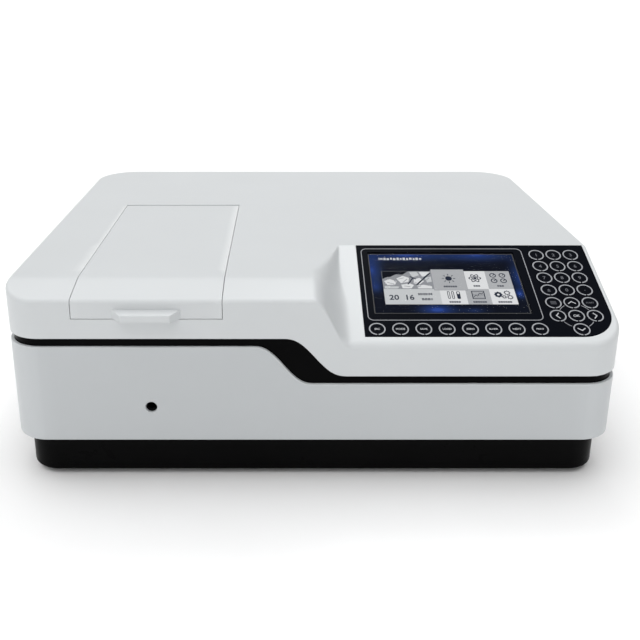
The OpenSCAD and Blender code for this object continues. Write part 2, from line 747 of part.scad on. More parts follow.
module detector_head() color([0.2, 0.2, 0.22]) {
  difference() {
    box(-274, bay_x0 - 1, beam_y - 22, beam_y + 22, bench_top, 118);
    rod_x(-262, -200, beam_y, beam_z, 7);
  }
  rod_x(-266, -257, beam_y, beam_z, 6);
}

base_tray();
feet();
lower_housing();
trim_band();
upper_cover();
case_screws();
sample_lid();
hinge_pins();
lid_seal();
control_panel();
display_window();
lcd_module();
keypad_board();
for (i = [0 : 7]) key(fn_place(i));
for (i = [0 : 18]) key(pad_place(i));
rear_panel();
power_inlet();
power_switch();
fan_frame();
fan_rotor();
main_board();
power_supply();
optical_bench();
sample_chamber();
cell_carriage();
carriage_rails();
carriage_screw();
carriage_motor();
monochromator();
grating_turret();
lamp_house();
deuterium_lamp();
tungsten_lamp();
source_mirror();
detector_head();
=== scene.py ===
import math

import bmesh
import bpy
import numpy as np
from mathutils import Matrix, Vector
from mathutils.geometry import delaunay_2d_cdt


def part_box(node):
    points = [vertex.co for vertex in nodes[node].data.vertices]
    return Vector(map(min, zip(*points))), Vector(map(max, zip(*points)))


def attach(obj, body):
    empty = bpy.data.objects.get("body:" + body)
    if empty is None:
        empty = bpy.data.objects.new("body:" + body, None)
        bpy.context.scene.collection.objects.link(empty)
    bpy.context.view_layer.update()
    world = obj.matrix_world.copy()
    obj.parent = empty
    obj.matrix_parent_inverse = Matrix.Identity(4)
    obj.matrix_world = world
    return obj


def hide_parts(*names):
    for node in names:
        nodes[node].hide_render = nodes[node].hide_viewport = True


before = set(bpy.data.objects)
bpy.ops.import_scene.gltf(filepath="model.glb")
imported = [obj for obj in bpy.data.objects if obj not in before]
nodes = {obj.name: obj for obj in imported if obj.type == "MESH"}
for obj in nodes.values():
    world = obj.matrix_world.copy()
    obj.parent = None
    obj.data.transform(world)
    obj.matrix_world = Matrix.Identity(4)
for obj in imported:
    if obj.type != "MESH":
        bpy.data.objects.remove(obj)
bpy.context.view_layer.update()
MM = 0.001


def corners_mm(node):
    low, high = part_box(node)
    return [c / MM for c in low], [c / MM for c in high]


# ---- Places, in millimetres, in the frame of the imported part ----

(case_x0, front_y, skirt_z), (case_x1, rear_y, _) = corners_mm("lower_housing")
top_z = corners_mm("upper_cover")[1][2]
(lid_x0, lip_y, lid_z0), (lid_x1, lid_rear, _) = corners_mm("sample_lid")
mid_y = (front_y + rear_y) / 2
CORNER, REAR_CORNER = 35, 50
WALL = 3
ROLL_LEN, ROLL_DROP = 38, 9
BAND_LEFT, BAND_RIGHT, BAND_GAP = 151.5, 112.7, 7
# The band's step: where it starts and how long it is, above at the cover and below at the housing
COVER_STEP, HOUSING_STEP = (-31, 63), (-60, 60)
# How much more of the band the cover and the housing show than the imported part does
COVER_UP, HOUSING_DOWN = 0.8, 0.5
TILT = math.radians(21.5)
PANEL_Y = front_y + 137
# The slope beside the panel: its length, its middle at the rear, how far that moves, and its half width
SLOPE_LEN, SLOPE_X, SLOPE_SHIFT, SLOPE_MIN, SLOPE_GROW = 81, 29, 13, 1.5, 17.5
OVERLAY_X0, OVERLAY_X1, OVERLAY_LEN, OVERLAY_R = 47.7, 290, 136, 35
SCREEN = (59.3, 213.5, 11.9, 104.2)
PORT = ((lid_x0 + lid_x1) / 2, 80.7, 5.5)
HINGE_R = 6
HINGE_Y, HINGE_Z = lid_rear - HINGE_R, top_z - HINGE_R
OPEN_X0, OPEN_X1, OPEN_Y, OPEN_Z = lid_x0 - 1, lid_x1 + 1, lid_rear + 1, lid_z0 - 1
LEDGE_ROOT, LEDGE_TIP, LEDGE_TOP = 64, 46, 182.3
KEY_D, KEY_GAP = 16.6, 0.28
PAD_X, PAD_PITCH = 255.6, 18.1
PAD_S = [16.3, 34.4, 52.4, 70.9, 89.5, 107.8, 126.3]
FN_X, FN_PITCH, FN_S = 59.8, 22.3, 125.8
LINK_R = 16.4


def cos_sin(degrees):
    a = math.radians(degrees)
    return math.cos(a), math.sin(a)


def smooth(t):
    t = min(1.0, max(0.0, t))
    return t * t * (3 - 2 * t)


def ease(t):
    t = min(1.0, max(0.0, t))
    return t * t * t * (t * (6 * t - 15) + 10)


def ramp_up(t):
    """A straight rise from 0 to 1 with both of its ends rounded."""
    bend = 0.4
    t = min(1.0, max(0.0, t))
    if t < bend:
        return t * t / (2 * bend * (1 - bend))
    if t > 1 - bend:
        return 1 - (1 - t) ** 2 / (2 * bend * (1 - bend))
    return (t - bend / 2) / (1 - bend)


def soft_min(a, b, k):
    return min(a, b) - k * math.log1p(math.exp(-abs(a - b) / k))


def lid_side(y):
    return soft_min(top_z, top_z - ROLL_DROP + ROLL_DROP * (y - front_y) / ROLL_LEN, 0.7)


def panel_side(y):
    return soft_min(top_z, top_z + (y - PANEL_Y) * math.tan(TILT), 0.15)


def top_at(x, y):
    """The cover's height: the lid's side and the panel's side, joined by a slope that widens towards the front."""
    depth = min(1.0, max(0.0, (PANEL_Y - y) / SLOPE_LEN))
    centre = SLOPE_X - SLOPE_SHIFT * depth
    half = SLOPE_MIN + SLOPE_GROW * depth ** 1.85
    share = ramp_up((x - centre + half) / (2 * half))
    return lid_side(y) * (1 - share) + panel_side(y) * share


def cover_edge(x):
    return BAND_LEFT + COVER_UP + (BAND_RIGHT - BAND_LEFT) * ease((x - COVER_STEP[0]) / COVER_STEP[1])


def housing_edge(x):
    low = BAND_LEFT - BAND_GAP - HOUSING_DOWN
    return low + (BAND_RIGHT - BAND_LEFT) * ease((x - HOUSING_STEP[0]) / HOUSING_STEP[1])


def on_panel(x, y, z):
    c, s = math.cos(TILT), math.sin(TILT)
    return (x, PANEL_Y + y * c - z * s, top_z + y * s + z * c)


# ---- Mesh building ----

class Build:
    """Points welded to a thousandth of a millimetre, and faces with a material number."""

    def __init__(self):
        self.points, self.index, self.faces, self.slots = [], {}, [], []

    def point(self, p):
        key = (round(p[0], 3), round(p[1], 3), round(p[2], 3))
        if key not in self.index:
            self.index[key] = len(self.points)
            self.points.append((p[0], p[1], p[2]))
        return self.index[key]

    def face(self, corners, slot=0):
        ids = []
        for p in corners:
            i = self.point(p)
            if i not in ids:
                ids.append(i)
        if len(ids) > 2:
            self.faces.append(ids)
            self.slots.append(slot)

    def strip(self, a, b, slot=0, closed=False):
        n = len(a)
        for i in range(n if closed else n - 1):
            j = (i + 1) % n
            self.face([a[i], a[j], b[j], b[i]], slot)

    def rows(self, rows, slot=0, closed=False):
        for a, b in zip(rows, rows[1:]):
            self.strip(a, b, slot, closed)

    def mesh(self, name):
        data = bpy.data.meshes.new(name)
        data.from_pydata([(p[0] * MM, p[1] * MM, p[2] * MM) for p in self.points], [], self.faces)
        data.polygons.foreach_set("material_index", self.slots)
        data.update()
        return data


def inside(loop, pts):
    """Even-odd test of many 2D points against one outline."""
    a = np.array(loop, float)[:, :2]
    b = np.roll(a, -1, 0)
    x, y = pts[:, 0:1], pts[:, 1:2]
    crosses = (a[:, 1] > y) != (b[:, 1] > y)
    rise = np.where(b[:, 1] == a[:, 1], 1, b[:, 1] - a[:, 1])
    at = a[:, 0] + (y - a[:, 1]) * (b[:, 0] - a[:, 0]) / rise
    return (crosses & (x < at)).sum(1) % 2 == 1


def fill(build, loops, lift, grid=(), slot=0, flip=False):
    """Fills the area inside the first outline and outside the others, through the grid points."""
    clear = 0.6
    pts, edges = [], []
    for loop in loops:
        first, n = len(pts), len(loop)
        pts += [Vector((p[0], p[1])) for p in loop]
        edges += [(first + i, first + (i + 1) % n) for i in range(n)]
    if len(grid):
        grid = np.array(grid, float)
        keep = np.zeros(len(grid), bool)
        for loop in loops:
            keep ^= inside(loop, grid)
        rim = np.concatenate([np.array(loop, float)[:, :2] for loop in loops])
        ahead = np.concatenate([np.roll(np.array(loop, float)[:, :2], -1, 0) for loop in loops])
        side = ahead - rim
        long2 = np.maximum((side ** 2).sum(1), 1e-9)
        for i in np.nonzero(keep)[0]:
            t = np.clip(((grid[i] - rim) * side).sum(1) / long2, 0, 1)
            if (((rim + side * t[:, None] - grid[i]) ** 2).sum(1)).min() < clear * clear:
                keep[i] = False
        pts += [Vector(p) for p in grid[keep]]
    verts, _, faces, _, _, _ = delaunay_2d_cdt(pts, edges, [], 0, 1e-7)
    xy = np.array([(v.x, v.y) for v in verts])
    mid = np.array([xy[list(f)].mean(0) for f in faces])
    use = np.zeros(len(mid), bool)
    for loop in loops:
        use ^= inside(loop, mid)
    for f, u in zip(faces, use):
        if u:
            a, b, c = (xy[i] for i in f)
            turn = (b[0] - a[0]) * (c[1] - a[1]) - (b[1] - a[1]) * (c[0] - a[0])
            if abs(turn) > 1e-9:
                order = (a, b, c) if (turn > 0) != flip else (c, b, a)
                build.face([lift(*p) for p in order], slot)


def arc(cx, cy, r, a0, a1, n):
    turns = [cos_sin(a0 + (a1 - a0) * i / n) for i in range(n + 1)]
    return [(cx + r * c, cy + r * s) for c, s in turns]


def circle(cx, cy, r, n=48):
    return arc(cx, cy, r, 0, 360, n)[:-1]


def rounded(x0, x1, y0, y1, r, n=6):
    """A rectangle's outline, anticlockwise, with one corner radius or four (from the lower left)."""
    r = r if isinstance(r, (list, tuple)) else [r] * 4
    out = []
    for (cx, cy, a), q in zip(((x0, y0, 180), (x1, y0, 270), (x1, y1, 0), (x0, y1, 90)), r):
        sx, sy = (1 if cx == x0 else -1), (1 if cy == y0 else -1)
        out += arc(cx + sx * q, cy + sy * q, q, a, a + 90, n) if q > 0 else [(cx, cy)]
    return out


def round_bend(p0, p1, p2, w, n):
    """Points along the round bend from p0 to p2 whose corner is p1, with w the corner's weight."""
    out = []
    for k in range(n + 1):
        t = k / n
        d = (1 - t) ** 2 + 2 * w * t * (1 - t) + t * t
        out.append(tuple(((1 - t) ** 2 * p0 + 2 * w * t * (1 - t) * p1 + t * t * p2) / d))
    return out


def soften(points, r, n=4):
    """Rounds each corner of a closed outline with radius r, or with its own radius."""
    out = []
    m = len(points)
    for i, p in enumerate(points):
        q = r[i] if isinstance(r, (list, tuple)) else r
        p = np.array(p, float)
        a, b = np.array(points[i - 1], float) - p, np.array(points[(i + 1) % m], float) - p
        la, lb = np.linalg.norm(a), np.linalg.norm(b)
        a, b = a / la, b / lb
        half = math.acos(max(-1, min(1, float(a @ b)))) / 2
        cut = min(q / math.tan(half) if half > 1e-3 else 0, la * 0.49, lb * 0.49)
        if q <= 0 or cut < 1e-4 or half > math.pi / 2 - 0.01:
            out.append(tuple(p))
            continue
        out += round_bend(p + a * cut, p, p + b * cut, math.sin(half), n)
    return out


def shrink(loop, d):
    """An anticlockwise outline moved inwards by d."""
    a = np.array(loop, float)
    before, after = a - np.roll(a, 1, 0), np.roll(a, -1, 0) - a
    before /= np.maximum(np.linalg.norm(before, axis=1), 1e-9)[:, None]
    after /= np.maximum(np.linalg.norm(after, axis=1), 1e-9)[:, None]
    n1 = np.stack([-before[:, 1], before[:, 0]], 1)
    n2 = np.stack([-after[:, 1], after[:, 0]], 1)
    m = (n1 + n2) / np.maximum(1 + (n1 * n2).sum(1), 0.3)[:, None]
    return [tuple(p) for p in a + m * d]


def grow(loop, d):
    """A hole's anticlockwise outline moved outwards by d."""
    return shrink(loop, -d)


def slab(build, outer, holes, z0, z1, r1=0.0, r0=0.0, place=None, slot=0, top=None, steps=3):
    """A plate with its upper and lower edges rounded by r1 and r0. place(x, y, z) puts it in the frame, and
    top(x, y) shapes its upper face."""
    place = place or (lambda x, y, z: (x, y, z))
    top = top or (lambda x, y: z1)

    def edge(loop, sign):
        rows = []
        for r, face, way in ((r1, top, 1), (r0, lambda x, y: z0, -1)):
            for f in [math.pi / 2 * k / steps for k in range(steps + 1)][::way] if r else [0]:
                ring = shrink(loop, sign * r * (1 - math.sin(f)))
                rows.append([(x, y, face(x, y) - way * r * (1 - math.cos(f))) for x, y in ring])
        return rows

    edges = [edge(outer, 1)] + [edge(h, -1) for h in holes]
    for k, rows in enumerate(edges):
        placed = [[place(*p) for p in row[::-1]] for row in rows]
        build.rows(placed[::-1] if k else placed, slot, True)
    fill(build, [rows[0] for rows in edges], lambda x, y: place(x, y, top(x, y)), (), slot)
    fill(build, [rows[-1] for rows in edges], lambda x, y: place(x, y, z0), (), slot, True)


def lathe(build, profile, place, n=48, slot_at=None):
    """Turns a profile of (radius, height) about the upright axis. slot_at(step, degrees) picks the material."""
    for k, (p, q) in enumerate(zip(profile, profile[1:])):
        for i in range(n):
            a, b = 2 * math.pi * i / n, 2 * math.pi * (i + 1) / n
            build.face([place(r * math.cos(t), r * math.sin(t), z) for (r, z), t in ((p, a), (q, a), (q, b), (p, b))],
                       slot_at(k, math.degrees((a + b) / 2)) if slot_at else 0)


def thicken(build, depth, rim):
    """Gives an open skin a back face and rolls its free edges over. rim(x, y, z) is the radius there.
    The skin's outline lies inside the real edge by that radius."""
    steps = 3
    bm = bmesh.new()
    made = [bm.verts.new(p) for p in build.points]
    for ids in build.faces:
        bm.faces.new([made[i] for i in ids])
    bmesh.ops.recalc_face_normals(bm, faces=bm.faces)
    best = max(bm.faces, key=lambda f: f.calc_area())
    if best.normal.dot(best.calc_center_median() - Vector((0, mid_y, 90))) < 0:
        bmesh.ops.reverse_faces(bm, faces=bm.faces)
    bm.normal_update()
    thick = Build()
    thick.points = [tuple(v.co) for v in bm.verts]
    at = {v: i for i, v in enumerate(bm.verts)}
    normal, back = {}, {}
    for v in bm.verts:
        n = Vector((0, 0, 0))
        for loop in v.link_loops:
            n += loop.face.normal * loop.calc_angle()
        normal[v] = n.normalized()
        back[v] = len(thick.points)
        thick.points.append(tuple(v.co - normal[v] * depth))
    for f in bm.faces:
        thick.faces += [[at[v] for v in f.verts], [back[v] for v in f.verts][::-1]]
    after, before = {}, {}
    for e in bm.edges:
        if e.is_boundary:
            loop = e.link_loops[0]
            a, b = loop.vert, loop.link_loop_next.vert
            after[a], before[b] = b, a
    rows = {}
    for v in after:
        n, r = normal[v], rim(*v.co)
        b1 = (v.co - before[v].co).normalized().cross(n).normalized()
        b2 = (after[v].co - v.co).normalized().cross(n).normalized()
        b = (b1 + b2) / max(0.35, 1 + b1.dot(b2))
        first = len(thick.points)
        for f in (math.pi / 2 * k / steps for k in range(1, steps + 1)):
            thick.points.append(tuple(v.co + b * r * math.sin(f) - n * r * (1 - math.cos(f))))
        thick.points.append(tuple(v.co + b * r - n * depth))
        rows[v] = [at[v], *range(first, len(thick.points)), back[v]]
    for v, w in after.items():
        a, b = rows[v], rows[w]
        thick.faces += [[a[k], a[k + 1], b[k + 1], b[k]] for k in range(len(a) - 1)]
    thick.slots = [0] * len(thick.faces)
    bm.free()
    return thick


def add_object(name, data):
    obj = bpy.data.objects.new(name, data)
    bpy.context.scene.collection.objects.link(obj)
    return obj


def weigh_normals(obj, weight):
    mod = obj.modifiers.new("faces", "WEIGHTED_NORMAL")
    mod.keep_sharp = True
    mod.weight = weight


def finish_piece(name, build, mats, stands_for=(), body="case", weighted=True):
    """Makes the object, turns its faces outwards, hangs it on the body it rides on and hides the parts it stands for.
    """
    data = build.mesh(name)
    bm = bmesh.new()
    bm.from_mesh(data)
    bmesh.ops.recalc_face_normals(bm, faces=bm.faces)
    bm.to_mesh(data)
    bm.free()
    obj = add_object(name, data)
    for m in mats:
        data.materials.append(m)
    data.polygons.foreach_set("use_smooth", [True] * len(data.polygons))
    data.set_sharp_from_angle(angle=math.radians(38))
    if weighted:
        weigh_normals(obj, 60)
    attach(obj, body)
    if stands_for:
        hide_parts(*stands_for)


# ---- Materials ----

SCREEN_BASE = (0.004, 0.005, 0.008, 1)


def set_inputs(tree, node, inputs):
    """Each input is a constant, or the output of another node."""
    for name, value in inputs.items():
        if isinstance(value, bpy.types.NodeSocket):
            tree.links.new(value, node.inputs[name])
        else:
            node.inputs[name].default_value = value


def add_node(tree, kind, inputs, output, **settings):
    """Adds a shader node and gives back one of its outputs."""
    node = tree.nodes.new("ShaderNode" + kind)
    for name, value in settings.items():
        setattr(node, name, value)
    set_inputs(tree, node, inputs)
    return node.outputs[output]


def colour_ramp(tree, factor, stops):
    """A ramp through stops of (place, colour)."""
    color = add_node(tree, "ValToRGB", {"Fac": factor}, "Color")
    elements = color.node.color_ramp.elements
    for k, (at, rgb) in enumerate(stops):
        element = elements[k] if k < 2 else elements.new(at)
        element.position, element.color = at, (*rgb, 1)
    return color


def new_material(name):
    m = bpy.data.materials.new(name)
    m.use_nodes = True
    return m, m.node_tree, m.node_tree.nodes["Principled BSDF"]


def material(name, color, rough, grain, bump, mottle, metal=0.0, vary=0.06, coat=0.0, spec=0.5, edge_wear_and_highlight=0.0,
             streak=None, glow=None):
    """A moulded, painted or machined surface: fine grain, slight mottling, uneven gloss and lighter edges (wear; a
    painted highlight on the light plastics).
    """
    m, tree, shader = new_material(name)
    set_inputs(tree, shader, {"Metallic": metal, "Specular IOR Level": spec, "Coat Weight": coat,
                              "Coat Roughness": 0.08})
    where = add_node(tree, "TexCoord", {}, "Object")
    if streak:
        where = add_node(tree, "Mapping", {"Scale": streak, "Vector": where}, "Vector")

    def noise(scale, detail, rough_value=0.5):
        return add_node(tree, "TexNoise", {"Scale": scale, "Detail": detail, "Roughness": rough_value,
                                           "Vector": where}, "Fac")

    cloud, fine = noise(9, 4), noise(grain, 2, 0.6)
    low = [max(0, c * (1 - mottle)) for c in color]
    high = [min(1, c * (1 + mottle)) for c in color]
    colour_out = colour_ramp(tree, cloud, ((0.3, low), (0.7, high)))
    # Lightened convex edges: wear on most finishes, a painted highlight along the edges of the light case and cover
    # plastics
    if edge_wear_and_highlight:
        point = add_node(tree, "NewGeometry", {}, "Pointiness")
        edge = add_node(tree, "MapRange", {"From Min": 0.52, "From Max": 0.62, "To Max": edge_wear_and_highlight, "Value": point},
                        "Result")
        worn_and_highlit_edge = (*[min(1, c * 1.6 + 0.08) for c in color], 1)
        colour_out = add_node(tree, "Mix", {"A": colour_out, "B": worn_and_highlit_edge, "Factor": edge}, "Result", data_type="RGBA")
    if glow:
        set_inputs(tree, shader, {"Emission Color": colour_out, "Emission Strength": glow,
                                  "Base Color": SCREEN_BASE})
    else:
        set_inputs(tree, shader, {"Base Color": colour_out})
    gloss = add_node(tree, "MapRange", {"From Min": 0.3, "From Max": 0.7, "To Min": max(0.02, rough - vary),
                                        "To Max": min(1, rough + vary), "Value": noise(26, 5, 0.6)}, "Result")
    set_inputs(tree, shader, {"Roughness": gloss})
    if bump:
        dents = add_node(tree, "Bump", {"Strength": bump, "Distance": 0.0004, "Height": fine}, "Normal")
        set_inputs(tree, shader, {"Normal": dents})
    return m


# Both light plastics lighten their edges as a painted highlight, strongest on the housing
# The housing uses the cover's grey plastic made darker: painted shade on the lower housing and its sides
light_case = material("case_light_plastic", (0.475, 0.495, 0.507), 0.36, 1500, 0.05, 0.012, spec=0.4, vary=0.008,
                      edge_wear_and_highlight=0.7)
light_cover = material("cover_light_plastic", (0.57, 0.59, 0.60), 0.34, 1500, 0.05, 0.012, spec=0.4, vary=0.008,
                       edge_wear_and_highlight=0.25)
black_gloss = material("trim_gloss_black", (0.0014, 0.0014, 0.0016), 0.16, 1400, 0.02, 0.3, spec=0.03)
black_base = material("base_satin_black", (0.0014, 0.0014, 0.0015), 0.3, 1300, 0.09, 0.3, edge_wear_and_highlight=0.03, spec=0.03)
rubber = material("foot_rubber", (0.02, 0.02, 0.021), 0.75, 1100, 0.3, 0.25, edge_wear_and_highlight=0.15)

# ---- The case: outlines shared by the housing, the band and the cover ----


def stations():
    """The places along the front and rear walls where the case has points, closest together at the band's step."""
    return sorted({float(x) for x in (*range(-260, 261, 10), *range(-62, 58, 2))})


def side_stations():
    """The places along the side walls, closest together where the top bends."""
    ys = {float(y) for y in (*range(-205, 216, 20), -207, -203.5, -202, -200.5, -199, -196, -190)}
    ys |= {PANEL_Y + d for d in (-8, -3, -1.5, -0.8, -0.3, 0.2, 0.8, 1.6, 4)}
    return sorted(ys)


def perimeter(inset, r, back, xs, ys, steps=16):
    """Anticlockwise points of a plan with corner radii r and back, each with its outward direction, from the
    front left corner."""
    x0, x1, y0, y1 = case_x0 + inset, case_x1 - inset, front_y + inset, rear_y - inset
    out = []

    def bend(cx, cy, a0, r):
        for i in range(steps + 1):
            c, s = cos_sin(a0 + 90 * i / steps)
            out.append((cx + r * c, cy + r * s, c, s))

    bend(x0 + r, y0 + r, 180, r)
    out.extend((x, y0, 0.0, -1.0) for x in xs if x0 + r + 0.5 < x < x1 - r - 0.5)
    bend(x1 - r, y0 + r, 270, r)
    out.extend((x1, y, 1.0, 0.0) for y in ys if y0 + r + 0.5 < y < y1 - back - 0.5)
    bend(x1 - back, y1 - back, 0, back)
    out.extend((x, y1, 0.0, 1.0) for x in xs[::-1] if x0 + back + 0.5 < x < x1 - back - 0.5)
    bend(x0 + back, y1 - back, 90, back)
    out.extend((x0, y, -1.0, 0.0) for y in ys[::-1] if y0 + r + 0.5 < y < y1 - back - 0.5)
    return out


# ---- Upper cover ----

def edge_radius(x, ny):
    return 3.4 + 2.6 * smooth((x - 10) / 50) * max(0.0, -ny) ** 2


def roll_over(p):
    """The rounded edge between the top and the wall at one station: points from the top down to the wall."""
    x, y, nx, ny = p
    r = edge_radius(x, ny)
    px, py = x - nx * r, y - ny * r
    z = top_at(px, py)
    g = (top_at(px + nx * 0.2, py + ny * 0.2) - top_at(px - nx * 0.2, py - ny * 0.2)) / 0.4
    length = r * math.sqrt(1 + g * g)
    p0, p1, p2 = np.array([px, py, z]), np.array([x, y, z + r * g]), np.array([x, y, z + r * g - length])
    d0 = (p1 - p0) / length
    w = math.cos(math.acos(max(-1, min(1, float(-d0[2])))) / 2)
    return round_bend(p0, p1, p2, w, 5)


def overlay_loop(extra):
    """The overlay's outline in the panel's own plane, anticlockwise."""
    r = OVERLAY_R + extra
    x0, x1, y0 = OVERLAY_X0 - extra, OVERLAY_X1 + extra, -OVERLAY_LEN - extra
    bottom = [(x0 + (x1 - r - x0) * i / 24, y0) for i in range(24)]
    bend = arc(x1 - r, y0 + r, r, 270, 360, 20)
    right = [(x1, y0 + r + (extra - y0 - r) * i / 10) for i in range(1, 10)]
    rear = [(x1 + (x0 - x1) * i / 28, extra) for i in range(28)]
    left = [(x0, extra + (y0 - extra) * i / 14) for i in range(14)]
    return bottom + bend + right + rear + left


# Radii of the rolled edges, and the gaps around the lid
SEAM_RIM, EDGE_RIM, RECESS_RIM = 0.6, 0.9, 0.35
SEAM, REAR_SEAM = 0.4, 0.58
# Places along the depth, closest together where the top bends down to the front
ROLL_YS = (-232, -224, -216, -210, -206, -204, -203, -202, -201, -200, -198, -194)


def cover():
    skin = Build()
    inset = (1 - SEAM) / 2
    cut0, cut1 = OPEN_X0 + inset - SEAM_RIM, OPEN_X1 - inset + SEAM_RIM
    cut_y, cut_z = OPEN_Y - 1 + REAR_SEAM + SEAM_RIM, OPEN_Z + inset - SEAM_RIM
    xs = sorted(set(stations()) | {cut0, cut1} | {x / 2 for x in range(-40, 124, 3)})
    xs = [x for x in xs if x in (cut0, cut1) or min(abs(x - cut0), abs(x - cut1)) > 1.5]
    ring = perimeter(0, CORNER, REAR_CORNER, xs, side_stations())
    columns = []
    for p in ring:
        x, y, _, ny = p
        front = ny < -0.999
        low = cover_edge(x) + EDGE_RIM
        lip = roll_over(p)
        high = lip[-1][2]
        blend = smooth((x + 75) / 45) if ny < 0 and abs(x) < 260 else (1.0 if x > 0 else 0.0)
        half_way = cut_z * (1 - blend) + (low + high) / 2 * blend
        in_cut = front and cut0 < x < cut1
        at_cut = front and (x == cut0 or x == cut1)
        columns.append((x, y, low, half_way, high, lip, in_cut, at_cut))
    n = len(columns)
    for i in range(n):
        a, b = columns[i], columns[(i + 1) % n]
        rows = [[(*c[:2], c[h]) for c in (a, b)] for h in (2, 3)]
        if not (a[6] or b[6] or (a[7] and b[7])):
            rows.append([(*c[:2], c[4]) for c in (a, b)])
            rows += [[a[5][k], b[5][k]] for k in range(len(a[5]) - 2, -1, -1)]
        skin.rows(rows)
    outline = []
    for x, y, low, half_way, high, lip, in_cut, at_cut in columns:
        if in_cut:
            continue
        outline.append(lip[0][:2])
        if at_cut and x == cut0:
            y0, steps = lip[0][1], 26
            outline += [(cut0, y0 + (cut_y - y0) * k / steps) for k in range(1, steps)]
            outline += [(cut0 + (cut1 - cut0) * k / 14, cut_y) for k in range(15)]
            outline += [(cut1, cut_y + (y0 - cut_y) * k / steps) for k in range(1, steps)]
    hole = [on_panel(x, y, 0)[:2] for x, y in overlay_loop(0.25 + RECESS_RIM)]
    grid = [(x, y) for x in range(-288, 289, 18) for y in range(-90, 245, 18)]
    grid += [(x, y) for x in range(-288, 0, 12) for y in (*ROLL_YS, -186, -172, -150, -130, -110)]
    grid += [(x / 2, y) for x in range(-24, 100, 3) for y in range(-238, -128, 4)]
    grid += [(x, y / 2) for x in range(14, 48) for y in range(-254, -208, 3)]
    grid += [(x, PANEL_Y + d) for x in range(28, 47, 2) for d in (-1.4, -0.8, -0.3, 0.2, 0.8, 1.6, 3.5)]
    grid += [(x, PANEL_Y + d) for x in range(47, 292, 6) for d in (1.6, 4)]
    grid += [(x, -232.2) for x in range(50, 262, 6)]
    fill(skin, [outline, hole], lambda x, y: (x, y, top_at(x, y)), grid)

    def rim(x, y, z):
        if OVERLAY_X0 - 2 < x < OVERLAY_X1 + 1.5 and front_y + 5 < y < PANEL_Y + 1.5:
            return RECESS_RIM
        if OPEN_X0 - 2 < x < OPEN_X1 + 2 and y < OPEN_Y + 2 and z > OPEN_Z - 2:
            return SEAM_RIM
        return EDGE_RIM

    shell = thicken(skin, WALL, rim)
    # The shelf that carries the overlay
    windows = [rounded(*sides, 2) for sides in ((54, 221, -114.5, -5), (226.5, 285, -117, -5),
                                                (51, 226, -134.5, -116.5), (225.5, 268, -134.5, -117.4))]
    slab(shell, rounded(44, 292, -138, 0.5, [1, 35, 1, 1]), windows, -4.5, -2.3, place=on_panel)
    finish_piece("cover_shell", shell, [light_cover], ["upper_cover"])


cover()


# ---- Lower housing ----

def housing():
    skin = Build()
    ring = perimeter(0, CORNER, REAR_CORNER, stations(), side_stations())
    low = skirt_z + EDGE_RIM
    for a, b in zip(ring, ring[1:] + ring[:1]):
        if not (abs(a[3]) > 0.999 and abs(b[3]) > 0.999):
            skin.rows([[(p[0], p[1], low) for p in (a, b)],
                       [(p[0], p[1], housing_edge(p[0]) - EDGE_RIM) for p in (a, b)]])
    port = circle(PORT[0], PORT[1], PORT[2] + EDGE_RIM, 40)
    for sign, y, hole in ((-1, front_y, port), (1, rear_y, REAR_HOLE)):
        line = sorted(p[0] for p in ring if p[3] * sign > 0.999)
        loop = [(x, low) for x in line] + [(x, housing_edge(x) - EDGE_RIM) for x in line[::-1]]
        fill(skin, [loop, hole], lambda x, z, y=y: (x, y, z), flip=sign > 0)
    shell = thicken(skin, WALL, lambda x, y, z: EDGE_RIM)
    finish_piece("housing_shell", shell, [light_case], ["lower_housing"])


REAR_HOLE = grow(soften([(-240.5, 56.5), (240.5, 56.5), (240.5, 95), (-158, 95), (-158, 135.8), (-240.5, 135.8)],
                       [1, 3, 3, 1.5, 3, 1], 4), EDGE_RIM)
housing()


# ---- Trim band and base ----

def band():
    build = Build()
    xs = stations()
    outer, inner = (perimeter(WALL + d, CORNER - WALL - d, REAR_CORNER - WALL - d, xs, side_stations())
                    for d in (0.2, 3.2))
    low, low_in = ([(p[0], p[1], housing_edge(p[0]) - 6) for p in line] for line in (outer, inner))
    high, high_in = ([(p[0], p[1], cover_edge(p[0]) + 6) for p in line] for line in (outer, inner))
    build.rows([low, high, high_in, low_in, low], closed=True)
    finish_piece("trim_strip", build, [black_gloss], ["trim_band"])


band()

BASE_SCREWS = [(x, mid_y + y) for x, y in ((-262, -150), (-262, 150), (262, -150), (262, 150), (0, -215), (0, 215))]
FEET = [(x, mid_y + y) for x in (-240, 240) for y in (-198, 198)]


def base():
    build = Build()
    z0, floor, top = 5, 8, skirt_z + WALL + 0.3
    xs, ys = [float(x) for x in range(-250, 251, 50)], [float(y) for y in range(-200, 201, 50)]
    rows = []
    for d, z in ((13.2, z0), (12.0, z0 + 0.15), (11.0, z0 + 0.75), (10.3, z0 + 1.7), (10, z0 + 3), (10, top),
                 (13, top), (13, floor)):
        rows.append([(p[0], p[1], z) for p in perimeter(d, CORNER + 5 - d, CORNER + 5 - d, xs, ys, 12)])
    build.rows(rows, closed=True)
    # The flange that the housing stands on
    gap = WALL + 0.3
    outline = [p[:2] for p in perimeter(gap, CORNER - gap, REAR_CORNER - gap, xs, ys, 16)]
    opening = [p[:2] for p in perimeter(12.6, CORNER - 7.6, CORNER - 7.6, xs, ys, 12)]
    slab(build, outline, [opening], skirt_z + 0.3, top, 0.3, 0.3, steps=2)
    holes = [circle(x, y, 1.6, 20) for x, y in BASE_SCREWS]
    holes += [rounded(x - 22, x + 22, i * 9 - 30, i * 9 - 26, 1.9) for x in (-120, 120) for i in range(8)]
    wide = [grow(h, 0.4) for h in holes]
    for h, w in zip(holes, wide):
        build.rows([[(x, y, z) for x, y in loop] for loop, z in ((w, z0), (h, z0 + 0.4), (h, floor))], closed=True)
    fill(build, [[p[:2] for p in rows[0]]] + wide, lambda x, y: (x, y, z0), flip=True)
    fill(build, [[p[:2] for p in rows[-1]]] + holes, lambda x, y: (x, y, floor))
    finish_piece("base_shell", build, [black_base], ["base_tray"])


base()


